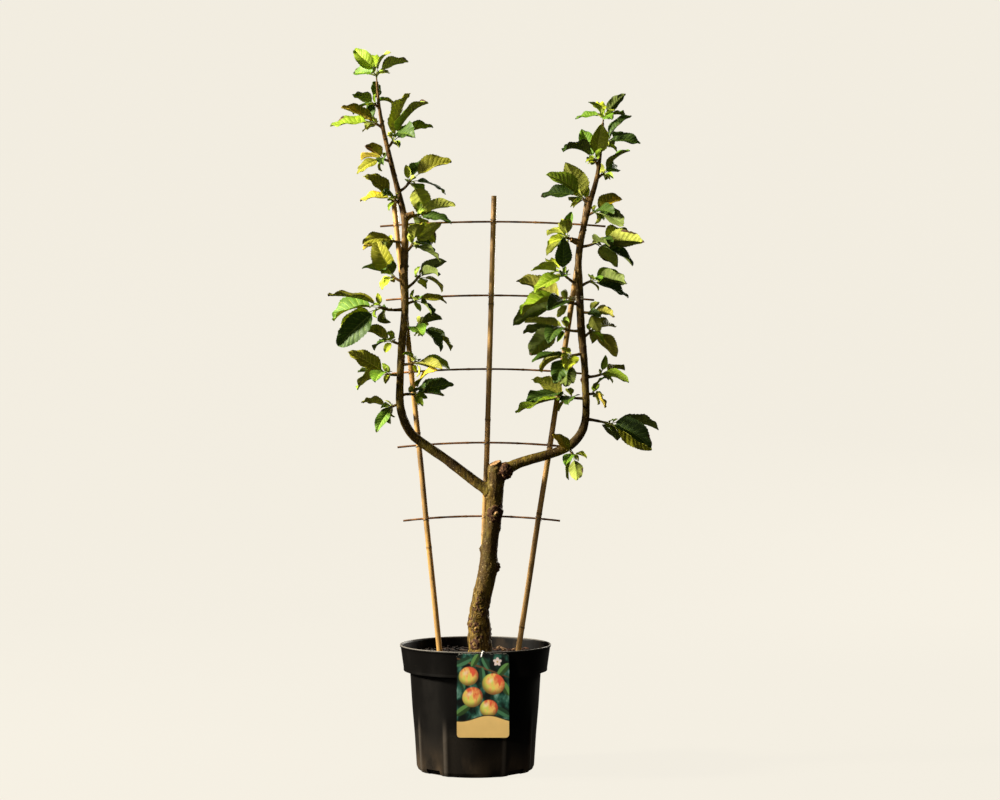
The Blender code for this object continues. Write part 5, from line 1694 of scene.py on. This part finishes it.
def draw_leaf(rng, root, spur_aim, angle, turn, size):
    """One random leaf: its stalk bends from the spur's aim to its own, and its upper side looks up and out."""
    along = aim_of(angle, turn)
    stalk = size * rng.uniform(*STALK_SHARE)
    knee = root + unit(spur_aim * 0.5 + along * 0.5) * stalk * 0.5
    foot = knee + unit(along + np.array([0.0, 0.0, 0.12])) * stalk * 0.5
    front = -1.0 if rng.random() < FRONT_SHARE else 1.0
    wish = np.array([rng.uniform(-0.4, 0.4), front * rng.uniform(0.1, 0.9), rng.uniform(0.35, 1.1)])
    up = unit(wish - along * (wish @ along))
    length = size * rng.uniform(0.84, 1.12)
    return {
        "root": root,
        "knee": knee,
        "foot": foot,
        "along": along,
        "up": up,
        "length": length,
        "width": length * LEAF_WIDTH * rng.uniform(0.86, 1.12),
        "fold": math.radians(rng.uniform(8, 34)),
        "droop": math.radians(rng.uniform(12, 60)),
        "twist": math.radians(rng.uniform(-26, 26)),
    }


def grow_mass(row, paths, obstacles, placed, rng):
    """The spur and leaves of one mass, by the leaf rule. A leaf that finds no room is skipped."""
    side, height, aim, turn, reach, aims, size, tones = row
    path = paths[side]
    root, thick, along = at_height(path, height)
    spur_aim = aim_of(aim, turn)
    if height is None:
        root, thick, spur_aim = root + along * SEAT, 0.0, along
    start = root + spur_aim * thick
    tip = start + spur_aim * reach
    leaves = []
    for k, wished in enumerate((*aims, None)):
        share = k / len(aims)
        foot = start + (tip - start) * (0.86 - 0.9 * abs(share - 0.5) * rng.random())
        way = 1 if (k + len(placed)) % 2 else -1
        depth = STRAY_DEPTH if wished is None else FAN_DEPTH
        full = size * STRAY_SIZE if wished is None else size
        wished = rng.uniform(min(aims), max(aims)) if wished is None else wished
        for attempt in range(TRIES):
            spread = SPREAD + attempt * SPREAD_PER_TRY
            angle = wished + rng.uniform(-spread, spread)
            turn_k = way * rng.uniform(*depth) * (-1 if attempt % 3 == 2 else 1)
            leaf = draw_leaf(rng, foot, spur_aim, angle, turn_k, full * (1 - SHRINK_PER_TRY * attempt))
            points = leaf_samples(leaf)
            if clear_of_limbs(points, obstacles) and clear_of_leaves(points, placed):
                place_leaf(leaf, points, tones[k], leaves, placed)
                break
    top = height is None
    return {"start": start, "tip": tip, "aim": spur_aim, "thick": thick, "top": top, "leaves": leaves}


def grow_young(mass, count, obstacles, placed, rng):
    """Small unfolding leaves in the heart of a spur, by the same rule with less room between them."""
    angle = math.degrees(math.atan2(mass["aim"][2], mass["aim"][0]))
    for k in range(count * 2 if mass["top"] else count):
        for attempt in range(TRIES // 4):
            share = rng.uniform(0.55, 1.0)
            root = mass["start"] + (mass["tip"] - mass["start"]) * share
            size = rng.uniform(0.012, 0.026) * (1 - 0.01 * attempt)
            leaf = draw_leaf(rng, root, mass["aim"], angle + rng.uniform(-75, 75), rng.uniform(-60, 60), size)
            leaf["droop"] *= rng.choice((0.6, 1.5))
            leaf["fold"] *= 1.5
            points = leaf_samples(leaf)
            if clear_of_limbs(points, obstacles, SEAT * 4) and clear_of_leaves(points, placed, SEAT * 7):
                place_leaf(leaf, points, rng.choice(YOUNG_TONES), mass["leaves"], placed)
                break


@lru_cache
def grown_masses(young):
    """All masses by name: the leaves of the solids first, then the small ones in the room that is left."""
    paths = {"left": smooth_path(LEFT_ARM), "right": smooth_path(RIGHT_ARM)}
    obstacles = capsules([trunk_path(), *paths.values(), *cane_paths(), *bar_paths()])
    placed, masses = [], {}
    for number, (name, row) in enumerate(MASSES.items()):
        masses[name] = grow_mass(row, paths, obstacles, placed, random.Random(SEED * 1000 + number))
    for number, mass in enumerate(masses.values()):
        grow_young(mass, young, obstacles, placed, random.Random(SEED * 2000 + number))
    return masses


def arm_masses(masses, side):
    """Names of the masses on one arm, from the lowest up."""
    return [name for name in masses if name.startswith(f"foliage_{side}")]


def perimeter(rows, columns):
    """Indices of a grid's edge points, anticlockwise seen from its upper side."""
    grid = np.arange(rows * columns).reshape(rows, columns)
    return np.concatenate([grid[0, :-1], grid[:-1, -1], grid[-1, :0:-1], grid[:0:-1, 0]])


def blade_sheets(leaf, look, marks, columns, veins, draw):
    """Points of a blade's upper and lower side.

    Grid rows follow the side veins, which run forward from the midrib. The blade bulges between the veins, its
    edge waves and has a tooth at every second row, and the midrib stands out below.
    """
    s, v = np.meshgrid(marks, columns, indexing="ij")
    side = np.abs(v)
    rim = side > 0.999
    tooth = (np.arange(len(marks)) % 2 == 1)[:, None] & rim
    u = s + look.slant * np.sin(np.pi * s) * side + np.where(tooth, 0.007, 0.0)
    u = np.clip(u, 0.0, 0.999)
    v = v * np.where(rim & ~tooth, 1 - look.tooth, 1.0)
    v = v * (1 + look.full * (0.5 + 1.6 * hump(s, 0.12, 0.12) + hump(s, 0.86, 0.10)))
    bulge = look.quilt * np.sin(np.pi * ((s * veins) % 1)) * (4 * side * (1 - side)) ** 0.7
    size = look.ripple * draw.uniform(0.25, 1.0)
    waves, phases = draw.uniform(1.6, 3.2), draw.uniform(0, math.tau, 2)
    wave = np.sin(math.tau * waves * s + np.where(v > 0, *phases))
    ripple = size * side**2.6 * wave * np.sin(np.pi * s) ** 0.5
    curl = draw.uniform(-0.30, 0.12) * np.clip(s - 0.62, 0, 1) ** 1.6
    cup = draw.uniform(-0.5, 1.0) * look.cup * side**2
    groove = look.groove * hump(v, 0.0, 0.11) * (1 - 0.75 * s)
    ridge = 0.011 * leaf["length"] * hump(v, 0.0, 0.09) * (1 - 0.85 * s)
    lift = leaf["length"] * (bulge + ripple + curl + cup - groove)
    upper = blade_points(leaf, u, v, lift)
    lower = blade_points(leaf, u, v, lift - look.thick * (1 - 0.4 * side) - ridge)
    return upper, lower


def blade_tones(leaf, numbers, marks, columns, small, draw):
    """Finish numbers of a blade's faces: the upper side, and then the under side.

    The midrib and veins have their own. A slanting line parts two tones, and the tip or a stretch of one edge
    may be dry.
    """
    count = len(columns)
    row = np.repeat(np.arange(len(marks) - 1), count - 1)
    column = np.tile(np.arange(count - 1), len(marks) - 1)
    place = marks[row]
    vein = (row % 4 == 3) & (column > 0) & (column < count - 2) & (not small)
    vein |= column == (count - 2) // 2
    slope, limit = draw.choice((-0.55, 0.55)), draw.uniform(0.20, 0.45)
    turned_tone = place + slope * columns[column] > limit
    dry_tip, dry_from = draw.random() < 0.45, 1 - draw.uniform(0.02, 0.10)
    edge = draw.integers(0, 2) * (count - 2)
    edge_from, edge_long = draw.uniform(0.1, 0.8), draw.uniform(0.0, 0.35) * (draw.random() < 0.3)
    dry_edge = (column == edge) & (place > edge_from) & (place < edge_from + edge_long)
    dry = (dry_tip & (place > dry_from)) | dry_edge
    own, rest = numbers[leaf["tone"]], numbers[SECOND_TONES.get(leaf["tone"], leaf["tone"])]
    sides = [np.where(vein, own[2], np.where(turned_tone, own[k], rest[k])) for k in (0, 1)]
    return [np.where(dry, numbers["dry"], side) for side in sides]


def add_leaf(shape, leaf, look, numbers, draw):
    """One leaf as a thin closed sheet with a rim wall, and its stalk, which runs on below the blade's foot."""
    small = leaf["length"] < SMALL_LEAF
    veins = SMALL_VEINS if small else LEAF_VEINS
    columns = np.array(SMALL_COLUMNS if small else LEAF_COLUMNS)
    marks = (np.arange(veins)[:, None] + VEIN_MARKS).ravel() / veins
    sheets = blade_sheets(leaf, look, marks, columns, veins, draw)
    half = len(marks) * len(columns)
    top = grid_faces(len(marks), len(columns))
    edge = perimeter(len(marks), len(columns))
    after = np.roll(edge, -1)
    wall = np.stack([edge, edge + half, after + half, after], -1)
    tones = blade_tones(leaf, numbers, marks, columns, small, draw)
    tones.append(np.full(len(wall), numbers[leaf["tone"]][0]))
    shape.add(np.stack(sheets), [top, top[:, ::-1] + half, wall], np.concatenate(tones))
    under = blade_points(leaf, [0.03, 0.07], [0.0, 0.0], -look.thick - leaf["length"] * 0.012)
    path = np.vstack([petiole_points(leaf, np.linspace(0.0, 1.0, 8)), under])
    thick = SMALL_STALK_RADIUS if small else STALK_RADIUS
    add_twig(shape, path, thick * STALK_SWELLS, 7, numbers["stalk"])


class OBJECT_OT_espalier_leaves(bpy.types.Operator):
    """Builds all leaves with their stalks, joined into one piece for the lower and upper half of each arm"""

    bl_idname = "espalier.leaves"
    bl_label = "Leaves"

    # Name of each piece, its arm, and its first and last mass on that arm.
    PIECES = (
        ("left_lower", "left", 0, 10),
        ("left_upper", "left", 10, None),
        ("right_lower", "right", 0, 11),
        ("right_upper", "right", 11, None),
    )
    # Roughness and vein relief of the three parts that each tone colours.
    PARTS = (("upper", 0.56, 0.50), ("under", 0.68, 0.7), ("vein", 0.60, 0.2))

    def execute(self, context):
        look = context.scene.espalier_leaf
        finishes, numbers = [], {}
        for letter, colours in LEAF_TONES.items():
            numbers[letter] = [len(finishes) + k for k in range(len(self.PARTS))]
            for (part, roughness, relief), colour in zip(self.PARTS, colours):
                finishes.append(leaf_finish(f"leaf_{letter}_{part}", colour, roughness, relief))
        for word in ("dry", "stalk"):
            numbers[word] = len(finishes)
            finishes.append(plain_finish(f"leaf_{word}"))
        masses = grown_masses(look.young)
        for piece, side, first, last in self.PIECES:
            names = arm_masses(masses, side)[first:last]
            shape = Shape()
            draw = np.random.default_rng(SEED + first + len(side))
            for name in names:
                for leaf in masses[name]["leaves"]:
                    add_leaf(shape, leaf, look, numbers, draw)
            add_piece(f"leaves_{piece}", shape, finishes, names, crease=55)
        return {"FINISHED"}


class OBJECT_OT_espalier_spurs(bpy.types.Operator):
    """Builds the fruiting spurs with their buds, and the buds along the arms"""

    bl_idname = "espalier.spurs"
    bl_label = "Spurs and buds"

    SPUR_SIDES = 12
    BUD_SIDES = 8
    SPUR_BUD = (0.0058, 0.0019)
    SIDE_BUD = (0.0042, 0.0013)
    FIRST_SIDE_BUD = 0.565
    SIDE_BUD_GAP = 0.029
    SIDE_BUD_TURN = math.radians(137.5)

    def execute(self, context):
        masses = grown_masses(context.scene.espalier_leaf.young)
        finishes = [bark(context.scene.espalier_tree), bud_scales()]
        for side, points in (("left", LEFT_ARM), ("right", RIGHT_ARM)):
            shape = Shape()
            draw = np.random.default_rng(SEED + len(points) * 3)
            names = arm_masses(masses, side)
            for name in names:
                self.spur(shape, masses[name], draw)
            self.side_buds(shape, smooth_path(points), draw)
            add_piece(f"spurs_{side}", shape, finishes, names, crease=60)
        return {"FINISHED"}

    def spur(self, shape, mass, draw):
        """A short crooked shoot, thick at its foot, ringed by old bud scars and ended by a bud."""
        tip, aim = mass["tip"], mass["aim"]
        length = np.linalg.norm(tip - mass["start"])
        share = np.linspace(0.0, 1.0, 26)
        root = mass["start"] - aim * mass["thick"] * 0.7
        bent = np.sin(math.pi * share)[:, None] * draw.normal(0.0, 0.05, 3) * length
        rings = 0.12 * np.cos(share * length / 0.0016 * math.tau) * smooth_step(share, 0.2, 0.5)
        swell = 0.62 * (1 + rings) if mass["top"] else 1.05 + 0.75 * np.exp(-share / 0.16) + rings
        add_twig(shape, root + (tip - root) * share[:, None] + bent, SPUR_RADIUS * swell, self.SPUR_SIDES)
        self.bud(shape, tip - aim * 0.0006, aim, *self.SPUR_BUD)

    def bud(self, shape, foot, aim, length, radius):
        """A pointed egg: its radius is a half sine of its length to a power, which puts the belly low."""
        share = np.linspace(0.02, 1.0, 9)
        belly = np.sin(math.pi * share**0.62) ** 0.9
        radii = np.maximum(radius * belly, 0.00012)
        add_twig(shape, foot + aim * (length * share)[:, None], radii, self.BUD_SIDES, 1)

    def side_buds(self, shape, path, draw):
        """Buds pressed to the arm, a few centimetres apart, each turned from the last by the golden angle."""
        turn = draw.uniform(0, math.tau)
        for height in np.arange(self.FIRST_SIDE_BUD, path[-1, 2] - 0.02, self.SIDE_BUD_GAP):
            place, thick, along = at_height(path, height)
            turn += self.SIDE_BUD_TURN
            out = np.array([math.cos(turn), math.sin(turn), 0.0])
            self.bud(shape, place + out * thick * 0.86, unit(along + out * 0.45), *self.SIDE_BUD)


class OBJECT_OT_espalier_stage(bpy.types.Operator):
    """Builds the round pale floor, the soft lights and the camera"""

    bl_idname = "espalier.stage"
    bl_label = "Stage"

    CAMERA_PLACE = (0.039, -3.2, 0.542)
    CAMERA_AIM = (0.039, 0.0, 0.5858)
    MIDDLE = (0.03, 0.0, 0.55)
    # Place, size and colour of each soft light.
    LIGHTS = {
        "key": ((-3.12, -0.55, 1.95), 0.6, (1.0, 0.94, 0.80)),
        "fill": ((-1.5, -3.0, 1.7), 1.5, (1.0, 0.94, 0.82)),
        "back": ((1.9, 3.1, 1.7), 1.6, (1.0, 0.96, 0.86)),
    }
    SPOT_PLACE = (-1.2, -2.6, 0.9)
    SPOT_ANGLE = math.radians(5.2)
    FLOOR_SIDES = 96
    FLOOR_DROP = 0.0004
    BEND = 2.6
    WALL = 3.4

    def execute(self, context):
        look = context.scene.espalier_stage
        self.backdrop(look)
        for name, (place, size, colour) in self.LIGHTS.items():
            lamp = self.lamp(f"{name}_light", "AREA", getattr(look, name), colour)
            lamp.shape = "DISK"
            lamp.size = size
            self.aim(lamp, place, self.MIDDLE)
        self.label_light(look)
        self.sky(look)
        lens = bpy.data.cameras.new("camera")
        lens.lens, lens.sensor_width = look.lens, 36.0
        context.scene.camera = self.aim(lens, self.CAMERA_PLACE, self.CAMERA_AIM)
        context.scene.view_settings.view_transform = "Standard"
        return {"FINISHED"}

    def backdrop(self, look):
        """A round floor that curves up at its edge into a wall: flat, a quarter circle, then straight up."""
        turn = np.linspace(0, math.pi / 2, 25)[1:]
        flat = np.linspace(0.01, look.radius - self.BEND, 12)
        radii = np.concatenate([flat, flat[-1] + self.BEND * np.sin(turn), [look.radius]])
        heights = np.concatenate([flat * 0, self.BEND * (1 - np.cos(turn)), [self.WALL]]) - self.FLOOR_DROP
        rings = turned(radii[:, None], heights[:, None], self.FLOOR_SIDES)
        points = np.vstack([rings.reshape(-1, 3), [(0, 0, -self.FLOOR_DROP)]])
        here = np.arange(self.FLOOR_SIDES)
        hub = np.stack([np.full(self.FLOOR_SIDES, len(points) - 1), here, np.roll(here, -1)], -1)
        shape = Shape()
        shape.add(points, [grid_faces(len(rings), self.FLOOR_SIDES, wrap=True)[:, ::-1], hub])
        floor = place_mesh("studio_floor", shape.mesh("studio_floor"), [floor_finish(look)])
        floor.visible_diffuse = floor.visible_glossy = False

    def lamp(self, name, kind, power, colour):
        """A lamp of a kind, power and colour."""
        made = bpy.data.lights.new(name, kind)
        made.energy, made.color = power, colour
        return made

    def aim(self, data, place, target):
        """Puts a lamp or camera at a place, turned towards a target."""
        made = bpy.data.objects.new(data.name, data)
        made.location = place
        made.rotation_euler = (Vector(target) - Vector(place)).to_track_quat("-Z", "Y").to_euler()
        bpy.context.scene.collection.objects.link(made)
        return made

    def label_light(self, look):
        """A narrow soft spot on the plant label, which faces away from the key light."""
        lamp = self.lamp("label_light", "SPOT", look.label, (1.0, 0.94, 0.82))
        lamp.spot_size, lamp.spot_blend, lamp.shadow_soft_size = self.SPOT_ANGLE, 0.7, 0.12
        self.aim(lamp, self.SPOT_PLACE, LABEL_MIDDLE)

    def sky(self, look):
        """Faint warm light from all sides."""
        world = bpy.data.worlds.new("studio_sky")
        world.use_nodes = True
        background = world.node_tree.nodes["Background"].inputs
        background["Color"].default_value = (1.0, 0.93, 0.76, 1.0)
        background["Strength"].default_value = look.sky
        bpy.context.scene.world = world


SETTINGS = {
    "espalier_pot": PotSettings,
    "espalier_compost": CompostSettings,
    "espalier_label": LabelSettings,
    "espalier_tree": TreeSettings,
    "espalier_trellis": TrellisSettings,
    "espalier_leaf": LeafSettings,
    "espalier_stage": StageSettings,
}
OPERATORS = (
    OBJECT_OT_espalier_pot,
    OBJECT_OT_espalier_compost,
    OBJECT_OT_espalier_label,
    OBJECT_OT_espalier_limbs,
    OBJECT_OT_espalier_trellis,
    OBJECT_OT_espalier_leaves,
    OBJECT_OT_espalier_spurs,
    OBJECT_OT_espalier_stage,
)


class VIEW3D_PT_espalier(bpy.types.Panel):
    """Lists the settings and the operators that build the espalier"""

    bl_label = "Potted Espalier"
    bl_idname = "VIEW3D_PT_espalier"
    bl_space_type = "VIEW_3D"
    bl_region_type = "UI"
    bl_category = "Espalier"

    def draw(self, context):
        for name, group in SETTINGS.items():
            box = self.layout.box()
            for setting in group.__annotations__:
                box.prop(getattr(context.scene, name), setting)
        for operator in OPERATORS:
            self.layout.operator(operator.bl_idname)


def register():
    """Registers the classes, and puts the settings on the scene."""
    for group in (*SETTINGS.values(), *OPERATORS, VIEW3D_PT_espalier):
        bpy.utils.register_class(group)
    for name, group in SETTINGS.items():
        setattr(bpy.types.Scene, name, PointerProperty(type=group))


def unregister():
    """Takes back what register has done, in reverse."""
    for name in SETTINGS:
        delattr(bpy.types.Scene, name)
    for group in reversed((*SETTINGS.values(), *OPERATORS, VIEW3D_PT_espalier)):
        bpy.utils.unregister_class(group)


def main():
    """Builds every piece and the stage in order."""
    register()
    for operator in OPERATORS:
        getattr(bpy.ops.espalier, operator.bl_idname.split(".")[1])()


if __name__ == "__main__":
    main()
